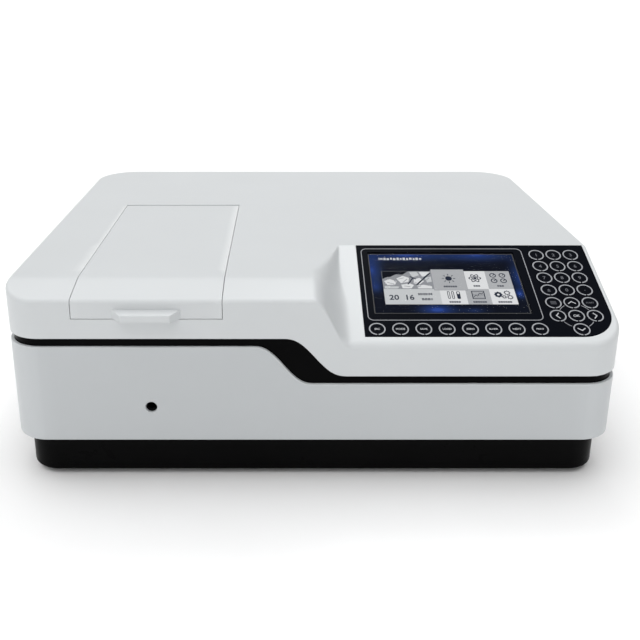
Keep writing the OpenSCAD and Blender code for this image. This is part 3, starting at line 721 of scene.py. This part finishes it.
def feet():
    build = Build()
    profile = [(0, 1.2), (8, 1.2), (8.6, 0.9), (9, 0), (12.4, 0), (13.4, 0.5), (14.2, 1.4), (15, 3.8), (15, 5), (0, 5)]
    for cx, cy in FEET:
        lathe(build, profile, lambda x, y, z, cx=cx, cy=cy: (cx + x, cy + y, z))
    finish_piece("rubber_feet", build, [rubber], ["feet"])


feet()


# ---- Sample lid ----

def lid():
    build = Build()
    r, rim = 3.4, 0.6
    spread = (1 - SEAM) / 2
    x_low, x_high, z_low = lid_x0 - spread, lid_x1 + spread, lid_z0 - spread
    g = -ROLL_DROP / ROLL_LEN
    y_p = front_y + r
    z_p = lid_side(y_p)
    length = r * math.sqrt(1 + g * g)
    outer = [(front_y + 0.8 - 0.8 * math.sin(a), z_low + 0.8 - 0.8 * math.cos(a))
             for a in (math.radians(d) for d in (0, 30, 60, 90))]
    p0, p1, p2 = np.array([front_y, z_p + r * g - length]), np.array([front_y, z_p + r * g]), np.array([y_p, z_p])
    w = math.cos(math.acos(float(np.dot([0, 1], (p2 - p1) / length))) / 2)
    outer += round_bend(p0, p1, p2, w, 6)
    outer += [(y, lid_side(y)) for y in (*ROLL_YS, -180, -150, -110, -70, -30, 10, 40, 52)]
    outer += arc(HINGE_Y, HINGE_Z, HINGE_R, 90, -210, 40)
    inner = [(20, 197), (-60, 197), (-140, 197), (-196, 197), (-200, 196.6), (-204, 195.9), (-233, 189.0),
             (-236, 187.6), (-237, 185.5), (-237, z_low + 0.5), (-237.4, z_low)]
    profile = (outer + inner)[::-1]
    ends = [(rim * (1 - math.cos(f)), rim * (1 - math.sin(f))) for f in (math.pi / 6 * k for k in range(4))]
    rows = [[(x_low + out, y, z) for y, z in shrink(profile, shift)] for out, shift in ends]
    rows += [[(x_low + (x_high - x_low) * k / 14, y, z) for y, z in profile] for k in range(1, 14)]
    rows += [[(x_high - out, y, z) for y, z in shrink(profile, shift)] for out, shift in ends[::-1]]
    build.rows(rows, closed=True)
    cap = shrink(profile, rim)
    fill(build, [cap], lambda y, z: (x_low, y, z))
    fill(build, [cap], lambda y, z: (x_high, y, z), flip=True)
    # Side skirts under the lid
    skirt = [(-238.6, 182), (HINGE_Y - 8, 182), (HINGE_Y - 8, 197.6), (-202, 197.6), (-238.6, 189)]
    for x in (lid_x0 + 1, lid_x1 - 3):
        slab(build, soften(skirt, [1.5, 3, 0, 0, 0]), [], x, x + 2, 0.3, 0.3, lambda y, z, x: (x, y, z))
    # Ribs under the lid
    rib = soften([(lid_x0 + 2, 193.2), (lid_x1 - 2, 193.2), (lid_x1 - 2, 197.5), (lid_x0 + 2, 197.5)], 0.6)
    for y in (-170, -110, -50, 10):
        slab(build, rib, [], -y - 0.9, -y + 0.9, 0.3, 0.3, lambda x, z, y: (x, -y, z))
    return build


def ledge(build):
    """The lip at the lid's front that a finger lifts."""
    cx = (lid_x0 + lid_x1) / 2
    right = [(LEDGE_TIP / 2, lip_y), (LEDGE_ROOT / 2, front_y), (LEDGE_ROOT / 2, front_y + 1.6)]
    loop = soften([(cx - x, y) for x, y in right[::-1]] + [(cx + x, y) for x, y in right],
                  [0, 0.6, 2.2, 2.2, 0.6, 0], 5)
    slope = math.tan(math.radians(13))
    slab(build, loop, [], lid_z0 + 0.5, LEDGE_TOP, 0.9, 0.3, top=lambda x, y: LEDGE_TOP + (y - front_y) * slope,
         steps=4)
    slab(build, shrink(loop, 0.35), [], lid_z0 - 0.25, lid_z0 + 0.7, 0.1, 0.2)


lid_build = lid()
ledge(lid_build)
finish_piece("lid_shell", lid_build, [light_cover], ["sample_lid"], "lid")

# ---- Control panel ----

INK_FILM = (0.0022, 0.0030, 0.0055)
panel_black = material("panel_gloss_film", INK_FILM, 0.26, 1500, 0.015, 0.25, vary=0.03, spec=0.009)
key_black = material("key_satin_film", INK_FILM, 0.3, 1500, 0.05, 0.25, spec=0.009)
silver_ink = material("silver_ink", (0.29, 0.30, 0.32), 0.42, 1800, 0.03, 0.08, spec=0.2)
bright_ink = material("bright_ink", (0.42, 0.43, 0.45), 0.42, 1800, 0.03, 0.08, spec=0.2)
dim_ink = material("dim_ink", (0.10, 0.105, 0.12), 0.5, 1800, 0.03, 0.1, spec=0.2)


def screen_colour(name, color):
    """A lit patch of the display: it gives out its own colour, a little uneven like a real panel."""
    return material(name, color, 0.5, 2600, 0, 0.03, vary=0.02, spec=0.0, glow=1.0)


def screen_blue():
    """The display's dark ground, with soft patches of blue light."""
    m, tree, shader = new_material("screen_blue")
    where = add_node(tree, "TexCoord", {}, "Object")
    total = 0.02
    # Each patch: x, distance down the panel, half width, half height, strength
    for x, s, rx, rs, gain in ((100, 13, 80, 19, 1.1), (175, 14, 75, 18, 1.0), (62, 38, 20, 46, 1.0),
                               (214, 50, 18, 42, 1.0), (122, 97, 34, 13, 1.3), (158, 98, 26, 9, 0.5),
                               (64, 64, 12, 16, 0.6), (208, 74, 9, 12, 1.1)):
        middle = [c * MM for c in on_panel(x, -s, -2.25)]
        place = add_node(tree, "Mapping", {"Location": middle, "Scale": (rx * MM, rs * MM, 1.0), "Vector": where},
                         "Vector", vector_type="TEXTURE")
        patch = add_node(tree, "TexGradient", {"Vector": place}, "Fac", gradient_type="QUADRATIC_SPHERE")
        total = add_node(tree, "Math", {0: patch, 1: gain, 2: total}, "Value", operation="MULTIPLY_ADD")
    light = colour_ramp(tree, total, ((0.0, (0.0015, 0.002, 0.005)), (0.18, (0.003, 0.006, 0.02)),
                                      (0.45, (0.008, 0.02, 0.075)), (0.8, (0.011, 0.032, 0.155)),
                                      (1.0, (0.022, 0.060, 0.29))))
    set_inputs(tree, shader, {"Base Color": SCREEN_BASE, "Specular IOR Level": 0.0, "Emission Color": light,
                              "Emission Strength": 1.0})
    return m


def glass(name, ior, rough, color):
    m = material(name, color, rough, 600, 0, 0.004, vary=0.01)
    set_inputs(m.node_tree, m.node_tree.nodes["Principled BSDF"], {"Transmission Weight": 1.0, "IOR": ior})
    return m


def flat(build, loop, n0, n1, slot=0, holes=()):
    slab(build, loop, list(holes), n0, n1, place=on_panel, slot=slot)


def box_loop(x0, x1, s0, s1, r=0.0):
    return rounded(x0, x1, -s1, -s0, r, 4) if r else [(x0, -s1), (x1, -s1), (x1, -s0), (x0, -s0)]


def line_loop(x0, s0, x1, s1, w):
    a, b = np.array([x0, -s0], float), np.array([x1, -s1], float)
    d = (b - a) / np.linalg.norm(b - a)
    n = np.array([-d[1], d[0]]) * w / 2
    return [tuple(p) for p in (a - n, b - n, b + n, a + n)]


def ring_loops(x, s, r, w, n, slot, level):
    """A ring as its outline, its material, its height and its hole."""
    return circle(x, -s, r + w / 2, n), slot, level, [circle(x, -s, r - w / 2, n)]


def glyph(build, text, cx, cy, height, z0, z1, slot, place, bold):
    """Numbers or letters as a thin raised print, centred at a point."""
    curve = bpy.data.curves.new("glyph", "FONT")
    curve.body = text
    curve.resolution_u = 3
    curve.offset = bold
    temp = bpy.data.objects.new("glyph", curve)
    data = bpy.data.meshes.new_from_object(temp)
    co = np.array([v.co for v in data.vertices], float).reshape(-1, 3)
    tall = 0.73
    k = height / tall
    mid = (co[:, 0].min() + co[:, 0].max()) / 2
    pts = [(cx + (c[0] - mid) * k, cy + (c[1] - tall / 2) * k) for c in co]
    used = {}
    for poly in data.polygons:
        ids = list(poly.vertices)
        if poly.normal.z < 0:
            ids = ids[::-1]
        build.face([place(*pts[i], z1) for i in ids], slot)
        build.face([place(*pts[i], z0) for i in ids[::-1]], slot)
        used.update(dict.fromkeys(zip(ids, ids[1:] + ids[:1])))
    for a, b in used:
        if (b, a) not in used:
            build.face([place(*pts[a], z0), place(*pts[b], z0), place(*pts[b], z1), place(*pts[a], z1)], slot)
    bpy.data.meshes.remove(data)
    bpy.data.objects.remove(temp)
    bpy.data.curves.remove(curve)


KEYS = [(f"fn_key_{i + 1}", FN_X + FN_PITCH * i, FN_S) for i in range(8)]
KEYS += [(f"pad_key_{i + 1}", PAD_X + PAD_PITCH * (i % 3 - 1), PAD_S[i // 3]) for i in range(18)]
KEYS.append(("pad_key_19", PAD_X, PAD_S[6]))
LEGENDS = dict(zip([k[0] for k in KEYS], ["ESC", "MODE", "SAVE", "LOAD", "ZERO", "BLANK", "NEXT", "PRINT",
                                          "1", "2", "3", "4", "5", "6", "7", "8", "9", "±", "0", ".",
                                          "bars", "up", "START", "left", "OK", "right", "down"]))


def overlay():
    build = Build()
    window = box_loop(SCREEN[0] - 0.3, SCREEN[1] + 0.3, SCREEN[2] - 0.3, SCREEN[3] + 0.3, 0.8)
    holes = [window] + [circle(x, -s, KEY_D / 2 + KEY_GAP, 48) for _, x, s in KEYS]
    slab(build, overlay_loop(0), holes, -2, 0, 0.25, place=on_panel)
    finish_piece("panel_overlay", build, [panel_black], ["control_panel"])
    ink = Build()
    frame_out = rounded(52, 223, -114.2, -5.7, 6, 10)
    slab(ink, frame_out, [shrink(frame_out, 0.8)], -0.05, 0.05, 0.03, place=on_panel)
    # The thin ring that links the four arrow keys
    cx, cs, r = PAD_X, PAD_S[5], LINK_R
    run = []
    for a in range(0, 361, 2):
        c, d = cos_sin(a)
        x, s = cx + r * c, cs - r * d
        clear = all(math.hypot(x - kx, s - ks) > KEY_D / 2 + 0.6 for _, kx, ks in KEYS)
        if clear:
            run.append(math.radians(a))
        if run and (not clear or a == 360):
            sides = [[(cx + q * math.cos(t), -cs + q * math.sin(t)) for t in run] for q in (r + 0.3, r - 0.3)]
            if len(run) > 1:
                flat(ink, sides[0] + sides[1][::-1], -0.05, 0.06)
            run = []
    finish_piece("panel_print", ink, [silver_ink])


overlay()


def window():
    build = Build()
    slab(build, box_loop(*SCREEN, 0.6), [], -1.6, 0, 0.2, 0.1, place=on_panel)
    clear = material("window_glass", (0.01, 0.011, 0.013), 0.06, 600, 0, 0.02, vary=0.01, spec=0.06)
    clear.node_tree.nodes["Principled BSDF"].inputs["Alpha"].default_value = 0.05
    finish_piece("screen_window", build, [clear], ["display_window"])


window()


def picture():
    """What the display shows: a title bar, a block of tiles with simple icons, and the time."""
    build = Build()
    blue, white, grey, pale, ink, black, edge, cloud = range(8)
    base, tile, mark, over = -2.36, -2.28, -2.2, -2.12

    def put(loop, slot, level, holes=()):
        flat(build, loop, level - 0.07, level, slot, holes)

    def box(x0, x1, s0, s1, slot, level):
        put(box_loop(x0, x1, s0, s1), slot, level)

    def line(x0, s0, x1, s1, w, slot=ink, level=over):
        put(line_loop(x0, s0, x1, s1, w), slot, level)

    def spokes(x, s, r0, r1, w, level):
        for a in range(0, 360, 45):
            c, d = cos_sin(a)
            line(x + r0 * c, s + r0 * d, x + r1 * c, s + r1 * d, w, ink, level)

    x0, x1, s0, s1 = SCREEN
    box(x0 - 2, x1 + 2, s0 - 2, s1 + 2, black, base - 0.04)
    box(x0 + 0.9, x1 - 0.9, s0 + 0.9, s1 - 0.9, blue, base + 0.02)
    rim = box_loop(x0 + 0.5, x1 - 0.5, s0 + 0.3, s1 - 1.9)
    put(rim, edge, base + 0.03, [box_loop(x0 + 1.0, x1 - 1.0, s0 + 0.8, s1 - 2.5)])
    # Title: a row of short bars
    x = 70.5
    for k, w in enumerate((1.0, 2.8, 2.4, 3.0, 2.2, 3.2, 2.6, 2.2, 3.0, 2.4, 3.2, 2.0, 3.0, 2.8)):
        put(box_loop(x, x + w * 0.8, 18.2 + 0.7 * (k % 2), 21.9 - 0.6 * (k % 3 == 1)), white, mark,
            [box_loop(x + w * 0.3, x + w * 0.5, 19.7, 20.9)] if w > 2.1 else [])
        x += w + 0.75
    # Tiles: two rows, and a raised one with a frame
    first, second, last = 39.6, 66.9, 89.3
    for left, right, slot in ((71.5, 124, cloud), (155, 178.5, white), (178.5, 203.7, grey)):
        box(left, right, first, second, slot, tile)
    for left, right, slot in ((71.5, 128, pale), (128, 154, white), (154, 178, grey), (178, 203.7, white)):
        box(left, right, second, last, slot, tile)
    box(122.6, 156.9, 36.9, 69.0, cloud, tile + 0.03)
    box(123.0, 156.5, 37.3, 68.5, grey, mark)
    # Picture tile: pale broken rock under a dark corner
    put([(71.8, -52), (71.8, -39.9), (99, -39.9), (93, -45), (86, -44.6), (80, -48.5), (75, -49.5)], black, mark)
    rocks = (((73, 55), (79, 52), (86, 55), (84, 60), (76, 61)), ((86, 51), (93, 47), (99, 50), (98, 56), (90, 58)),
             ((100, 41.2), (108, 40.6), (110, 46), (103, 49)), ((110, 41), (121.5, 41), (120, 46), (113, 48)),
             ((104, 52), (110, 50), (114, 55), (109, 60), (103, 58)),
             ((73, 62.5), (82, 62), (88, 63.5), (86, 66), (73, 66)),
             ((90, 60.5), (99, 58.5), (103, 61), (100, 65.8), (91, 65.8)),
             ((106, 62), (113, 60.5), (121, 63), (121, 66), (107, 66)),
             ((115, 50), (121.8, 48), (121.8, 56), (117, 57)))
    for k, loop in enumerate(rocks):
        put([(x, -s) for x, s in loop], pale if k % 3 == 2 else white, mark + 0.003 * k)
    cracks = ((76, 57, 83, 59.5, 0.7), (83, 53, 87, 60, 0.9), (88, 52, 94, 50, 0.6), (92, 57, 97, 52, 0.8),
              (97, 60, 103, 50.5, 1.2), (100, 48, 106, 52, 1.3), (106, 60.5, 121.5, 42.5, 1.7), (110, 46, 113, 52, 1.0),
              (112, 57, 118, 60.5, 0.8), (78, 63.5, 85, 62.6, 0.6), (93, 62.5, 99, 63.5, 0.7),
              (104, 64.4, 110, 62.4, 0.9), (73.5, 60.8, 79, 61.8, 0.6), (116, 54, 120, 50, 0.7),
              (101, 55, 106, 57.5, 0.6))
    for k, crack in enumerate(cracks):
        line(*crack, ink if crack[-1] > 1 else cloud, over + 0.002 * k - 0.03)
    # Sun tile
    put(circle(139.7, -51, 3.4, 24), ink, over)
    spokes(139.7, 51, 4.6, 6.9, 0.8, over)
    # Splash tile: crossing orbits
    for a in (0, 60, 120):
        c, d = cos_sin(a)
        orbits = []
        for size in (1.0, 0.8):
            turns = [2 * math.pi * k / 28 for k in range(28)]
            flat_ring = [(6.6 * size * math.cos(t), 2.7 * size * math.sin(t)) for t in turns]
            orbits.append([(166.8 + u * c - v * d, -50.5 + u * d + v * c) for u, v in flat_ring])
        put(orbits[0], ink, mark + 0.004 * a / 60, orbits[1:])
    put(circle(166.8, -50.5, 1.7, 16), ink, over)
    # Gauge tile: four small dials
    for gx, gs in ((186, 46.2), (186, 54.4), (195.6, 46.2), (195.6, 54.4)):
        put(*ring_loops(gx, gs, 2.9, 1.0, 24, ink, mark))
        line(gx - 0.2, gs + 0.2, gx + 1.7, gs - 1.5, 0.9)
    # Test tube tile
    for tx in (135, 139.2):
        put(box_loop(tx, tx + 2.6, 70.2, 81.4, 1.2), ink, mark, [box_loop(tx + 0.7, tx + 1.9, 70.9, 80.7, 0.5)])
    put(box_loop(144.3, 147.8, 70.2, 81.6, 1.6), ink, mark)
    put(box_loop(145.1, 147.0, 71.0, 74.4, 0.6), white, over)
    # Chart tile
    put(box_loop(159.5, 172.6, 69.8, 81.6), ink, mark, [box_loop(160.4, 171.7, 70.7, 80.7)])
    for k in range(1, 5):
        box(160.4, 171.7, 70.5 + k * 2.1, 70.8 + k * 2.1, ink, mark)
    points = [(161, 79), (163, 76), (165, 77.5), (167.5, 73), (169.5, 74.8), (171.2, 72)]
    for a, b in zip(points, points[1:]):
        line(*a, *b, 0.6)
    # Gear tile
    for gx, gs, r, w in ((186.2, 75.2, 2.6, 2.4), (195.4, 72.6, 2.4, 0.9), (197.4, 79.0, 2.2, 0.9),
                         (191.6, 78.6, 1.5, 0.8)):
        put(*ring_loops(gx, gs, r, w, 20, ink, mark))
        spokes(gx, gs, r + w / 2 - 0.2, r + w / 2 + 0.7, 0.7, mark + 0.01)
    # Captions: short bars under each icon
    for cx, cs, count, gap in ((139.7, 63.2, 6, grey), (166.8, 62.4, 3, pale), (191, 62.4, 3, pale),
                               (141, 86.0, 5, pale), (166, 86.0, 6, pale), (191, 86.0, 6, pale)):
        for k in range(count):
            x = cx + (k - (count - 1) / 2) * 2.3
            box(x - 0.95, x + 0.95, cs - 1.1, cs + 1.1, ink, over - 0.02)
            box(x - 0.3, x + 0.35, cs - 0.25, cs + 0.3, gap, over)
    # Time and date
    for text, x in (("20", 81), ("16", 97.2)):
        glyph(build, text, x, -79, 7.2, mark - 0.05, over, ink, on_panel, 0.018)
    for s, x, widths in ((74.6, 105.5, (1.6, 1.6, 0.6, 1.5, 1.5, 0.6, 1.5, 1.5)),
                         (82.0, 108.5, (2.4, 2.4, 2.4, 0.7, 0.7))):
        for w in widths:
            put(box_loop(x, x + w, s - 1.4, s + 1.4), ink, mark, [box_loop(x + w * 0.3, x + w * 0.7, s - 0.3, s + 0.5)])
            x += w + 0.55
    colours = {"white": (0.77, 0.78, 0.79), "grey": (0.45, 0.46, 0.475), "pale": (0.60, 0.62, 0.63),
               "ink": (0.02, 0.026, 0.045), "black": (0.0015, 0.002, 0.004), "edge": (0.11, 0.11, 0.105),
               "cloud": (0.30, 0.31, 0.33)}
    mats = [screen_blue()] + [screen_colour("screen_" + name, color) for name, color in colours.items()]
    finish_piece("screen_picture", build, mats, weighted=False)


picture()


def arrow(build, turn, z0, z1, place):
    """A bold chevron."""
    c, s = cos_sin(turn)
    pts = [(-4.1, -1.6), (-3.4, -2.4), (0, 0.3), (3.4, -2.4), (4.1, -1.6), (0, 1.7)]
    loop = [(px * c - (py + 0.6) * s, px * s + (py + 0.6) * c) for px, py in pts]
    slab(build, loop, [], z0, z1, place=place, slot=3)


def key(name, x, s):
    build = Build()
    place = lambda px, py, pz: on_panel(x + px, -s + py, pz)
    profile = [(0, 0.16), (6.7, 0.2), (6.8, 0.27), (7.9, 0.27), (8.0, 0.22), (8.2, 0.1), (8.3, -0.15), (8.3, -2.3),
               (8.8, -2.4), (8.8, -3.1), (3, -3.1), (3, -5.9), (2.8, -6.1), (0, -6.1)]
    lathe(build, profile, place, 72, lambda k, turn: 1 if 1 <= k <= 3 and not 264 < turn < 276 else 0)
    legend = LEGENDS[name]
    z0, z1 = 0.14, 0.25
    ink = 3 if name.startswith("fn") or legend == "OK" else 2
    turns = {"up": 0, "left": 90, "down": 180, "right": 270}
    if legend in turns:
        arrow(build, turns[legend], z0, z1, place)
    elif legend == "bars":
        for k in (-1.7, 0, 1.7):
            slab(build, rounded(-3, 3, k - 0.35, k + 0.35, 0.3, 3), [], z0, z1, place=place, slot=ink)
    else:
        height = 4.4 if len(legend) == 1 else (3.2 if legend == "OK" else (2.3 if len(legend) < 5 else 2.0))
        glyph(build, legend, 0, 1.4 if legend == "." else 0.0, height, z0, z1, ink, place, 0.02)
    finish_piece("cap_" + name, build, [key_black, silver_ink, dim_ink, bright_ink], [name], name)


for entry in KEYS:
    key(*entry)

# ---- Rear panel ----

rear_paint = material("rear_powder_coat", (0.20, 0.205, 0.215), 0.55, 1000, 0.35, 0.06, edge_wear_and_highlight=0.12, spec=0.4)
PLATE_Y0, PLATE_Y1 = (c[1] for c in corners_mm("rear_panel"))
FAN_X, FAN_Z = -201, 96
FAN_SCREWS = [(FAN_X + x * 35.75, FAN_Z + z * 35.75) for x in (-1, 1) for z in (-1, 1)]
PLATE_SCREWS = [(234, 64), (234, 90), (70, 90), (-138, 64)] + FAN_SCREWS
INLET_X, INLET_Z = 190, 77


def rear_plate():
    build = Build()
    outer = soften([(-244.8, 53), (244.8, 53), (244.8, 99), (-152, 99), (-152, 137.5), (-244.8, 137.5)],
                   [3, 3, 3, 1, 3, 3], 4)
    holes = [circle(x, z, 1.6, 24) for x, z in PLATE_SCREWS]
    # The fan's grille
    for r in (9, 17, 25, 33):
        for a in (0, 90, 180, 270):
            o, i = math.degrees(math.asin(1.2 / (r + 5))), math.degrees(math.asin(1.2 / r))
            n = 8 + r // 4
            loop = arc(FAN_X, FAN_Z, r + 5, a - 45 + o, a + 45 - o, n) + arc(FAN_X, FAN_Z, r, a + 45 - i, a - 45 + i, n)
            holes.append(soften(loop, [0.9 if k in (0, n, n + 1, 2 * n + 1) else 0.0 for k in range(len(loop))], 3))
    # The inlet, three data sockets and the slots beside the inlet
    holes += [rounded(INLET_X - 36, INLET_X + 36, INLET_Z - 13, INLET_Z + 13, 1), rounded(-100.5, -87.5, 59, 71, 0.8),
              rounded(-70.5, -55.5, 59, 75.5, 0.8), rounded(-30.5, 1.5, 59, 72.5, 1.2)]
    holes += [rounded(86 + i * 6, 89 + i * 6, 63, 91, 1.4, 5) for i in range(10)]
    slab(build, outer, holes, 0, PLATE_Y1 - PLATE_Y0, 0.35, 0.2, lambda x, z, h: (x, PLATE_Y0 + h, z), steps=2)
    finish_piece("rear_plate", build, [rear_paint], ["rear_panel"])


rear_plate()

# ---- CAD pieces that keep their shape ----


def dress(name, mats, bevel, pick=None):
    """Gives a CAD piece its finish, and rounds its edges a little. pick(centre, normal) is a face's material."""
    obj = nodes[name]
    obj.data.materials.clear()
    for m in mats:
        obj.data.materials.append(m)
    for poly in obj.data.polygons if pick else ():
        poly.material_index = pick(poly.center / MM, poly.normal)
    obj.data.polygons.foreach_set("use_smooth", [True] * len(obj.data.polygons))
    weld = obj.modifiers.new("weld", "WELD")
    weld.merge_threshold = 0.000002
    flat_faces = obj.modifiers.new("flat", "DECIMATE")
    flat_faces.decimate_type = "DISSOLVE"
    flat_faces.angle_limit = math.radians(1)
    flat_faces.delimit = {"MATERIAL"}
    edges = obj.modifiers.new("edges", "BEVEL")
    edges.width = bevel * MM
    edges.segments = 2
    edges.limit_method = "ANGLE"
    edges.angle_limit = math.radians(32)
    edges.harden_normals = False
    weigh_normals(obj, 80)


steel = material("screw_steel", (0.50, 0.51, 0.53), 0.3, 700, 0.05, 0.08, metal=1.0, edge_wear_and_highlight=0.3)
pin_steel = material("pin_steel", (0.62, 0.63, 0.65), 0.18, 900, 0.03, 0.05, metal=1.0, streak=(1, 40, 40))
foam = material("seal_foam", (0.012, 0.012, 0.012), 0.9, 500, 0.8, 0.4, spec=0.2)
matt_black = material("bay_matt_black", (0.010, 0.010, 0.011), 0.6, 1000, 0.3, 0.25, edge_wear_and_highlight=0.1, spec=0.3)
anodised = material("carriage_anodised", (0.015, 0.015, 0.017), 0.35, 1200, 0.1, 0.2, metal=0.6, edge_wear_and_highlight=0.25)
bench_alu = material("bench_machined", (0.58, 0.59, 0.61), 0.35, 300, 0.1, 0.06, metal=1.0, streak=(3, 60, 3))
sheet_steel = material("sheet_steel", (0.55, 0.56, 0.58), 0.32, 300, 0.06, 0.1, metal=1.0, streak=(2, 2, 30))
plastic_black = material("moulded_black", (0.009, 0.009, 0.010), 0.42, 1200, 0.15, 0.25, edge_wear_and_highlight=0.12, spec=0.35)
switch_black = material("switch_gloss_black", (0.012, 0.012, 0.013), 0.2, 1500, 0.03, 0.2, edge_wear_and_highlight=0.15, spec=0.4)
board_green = material("board_green", (0.010, 0.085, 0.035), 0.35, 260, 0.12, 0.35, coat=0.3)
lcd_grey = material("lcd_frame", (0.03, 0.032, 0.036), 0.45, 1000, 0.1, 0.15)
motor_paint = material("motor_paint", (0.02, 0.02, 0.022), 0.4, 900, 0.12, 0.2, edge_wear_and_highlight=0.2)
turret_alu = material("turret_alu", (0.5, 0.51, 0.54), 0.25, 500, 0.05, 0.08, metal=1.0)
mirror = material("mirror_coat", (0.85, 0.86, 0.88), 0.04, 900, 0.005, 0.02, metal=1.0, vary=0.01)
quartz = glass("lamp_quartz", 1.46, 0.04, (0.93, 0.95, 0.97))


def inlet_slot(c, n):
    """1 on the contact pins of the inlet, 0 on its moulding."""
    x, z = abs(c[0] - INLET_X - 2.25), abs(c[2] - INLET_Z - 1.5)
    if not (x < 9 and z < 6 and rear_y - 19.9 < c[1] < rear_y - 3.5):
        return 0
    return 1 if (abs(n[1]) > 0.9 and c[1] > rear_y - 5) or (x < 8.1 and abs(n[1]) < 0.5) else 0


def board_slot(c, _):
    """0 on the board, 1 on the data sockets, 2 on the other parts."""
    if c[2] < 59.7:
        return 0
    return 1 if c[1] > rear_y - 22 else 2


dress("power_inlet", [plastic_black, sheet_steel], 0.5, inlet_slot)
dress("main_board", [board_green, sheet_steel, plastic_black], 0.2, board_slot)
for name, finish, bevel in (
        ("case_screws", steel, 0.15), ("hinge_pins", pin_steel, 0.3), ("lid_seal", foam, 0.8),
        ("lcd_module", lcd_grey, 0.5), ("keypad_board", board_green, 0.1), ("power_switch", switch_black, 0.5),
        ("fan_frame", plastic_black, 0.5), ("fan_rotor", plastic_black, 0.3), ("power_supply", sheet_steel, 0.4),
        ("optical_bench", bench_alu, 0.5), ("sample_chamber", matt_black, 0.5), ("cell_carriage", anodised, 0.4),
        ("carriage_rails", pin_steel, 0.3), ("carriage_screw", pin_steel, 0.3), ("carriage_motor", motor_paint, 0.5),
        ("monochromator", matt_black, 0.5), ("grating_turret", turret_alu, 0.3), ("lamp_house", sheet_steel, 0.4),
        ("deuterium_lamp", quartz, 0.5), ("tungsten_lamp", quartz, 0.4), ("source_mirror", mirror, 0.2),
        ("detector_head", motor_paint, 0.5)):
    dress(name, [finish], bevel)

# ---- Camera, light and floor ----

camera_data = bpy.data.cameras.new("camera")
camera_data.lens = 46.3
camera_data.sensor_width = 36
camera_data.shift_x, camera_data.shift_y = 0.0539, -0.117
camera = add_object("camera", camera_data)
camera.location = (-0.028, -0.944, 0.475)
camera.rotation_euler = (math.radians(90 - 18.1), 0, 0)
bpy.context.scene.camera = camera


def softbox(name, place, aim, size, power):
    data = bpy.data.lights.new(name, "AREA")
    data.shape = "RECTANGLE"
    data.size, data.size_y = size
    data.energy = power
    obj = add_object(name, data)
    obj.location = place
    obj.rotation_euler = (Vector(aim) - Vector(place)).to_track_quat("-Z", "Y").to_euler()


def wide_sun(name, energy, angle, turn):
    data = bpy.data.lights.new(name, "SUN")
    data.energy = energy
    data.angle = math.radians(angle)
    add_object(name, data).rotation_euler = [math.radians(a) for a in turn]


wide_sun("ceiling", 2.45, 95, (-4, -8, 0))
wide_sun("front", 0.42, 50, (68, 0, -8))
softbox("rear", (0.17, 0.62, 1.5), (0.05, -0.105, 0.198), (0.5, 0.3), 2.4)

world = bpy.data.worlds.new("studio")
bpy.context.scene.world = world
world.use_nodes = True
# The room is white low down and dimmer above, most of all at both sides, which shapes the ends of the case
tree = world.node_tree
split = add_node(tree, "SeparateXYZ", {"Vector": add_node(tree, "TexCoord", {}, "Generated")}, "X").node
across = add_node(tree, "MapRange", {"From Min": -1, "Value": split.outputs["X"]}, "Result")
upper = colour_ramp(tree, across, [(at, [level] * 3) for at, level in ((0.04, 0.26), (0.26, 0.38), (0.7, 0.38),
                                                                       (0.9, 0.04))])
height = add_node(tree, "MapRange", {"From Min": 0.09, "From Max": 0.26, "Value": split.outputs["Z"]}, "Result")
room = add_node(tree, "Mix", {"A": (1, 1, 1, 1), "B": upper, "Factor": height}, "Result", data_type="RGBA")
set_inputs(tree, tree.nodes["Background"], {"Color": room, "Strength": 1.0})
bpy.context.scene.view_settings.view_transform = "Standard"

floor_build = Build()
FAR = 60000
floor_build.face([(-FAR, -FAR, 0), (FAR, -FAR, 0), (FAR, FAR, 0), (-FAR, FAR, 0)])
floor_obj = add_object("floor", floor_build.mesh("floor"))
floor_obj.data.materials.append(material("floor_paper", (0.93, 0.93, 0.93), 0.8, 300, 0.01, 0.004))
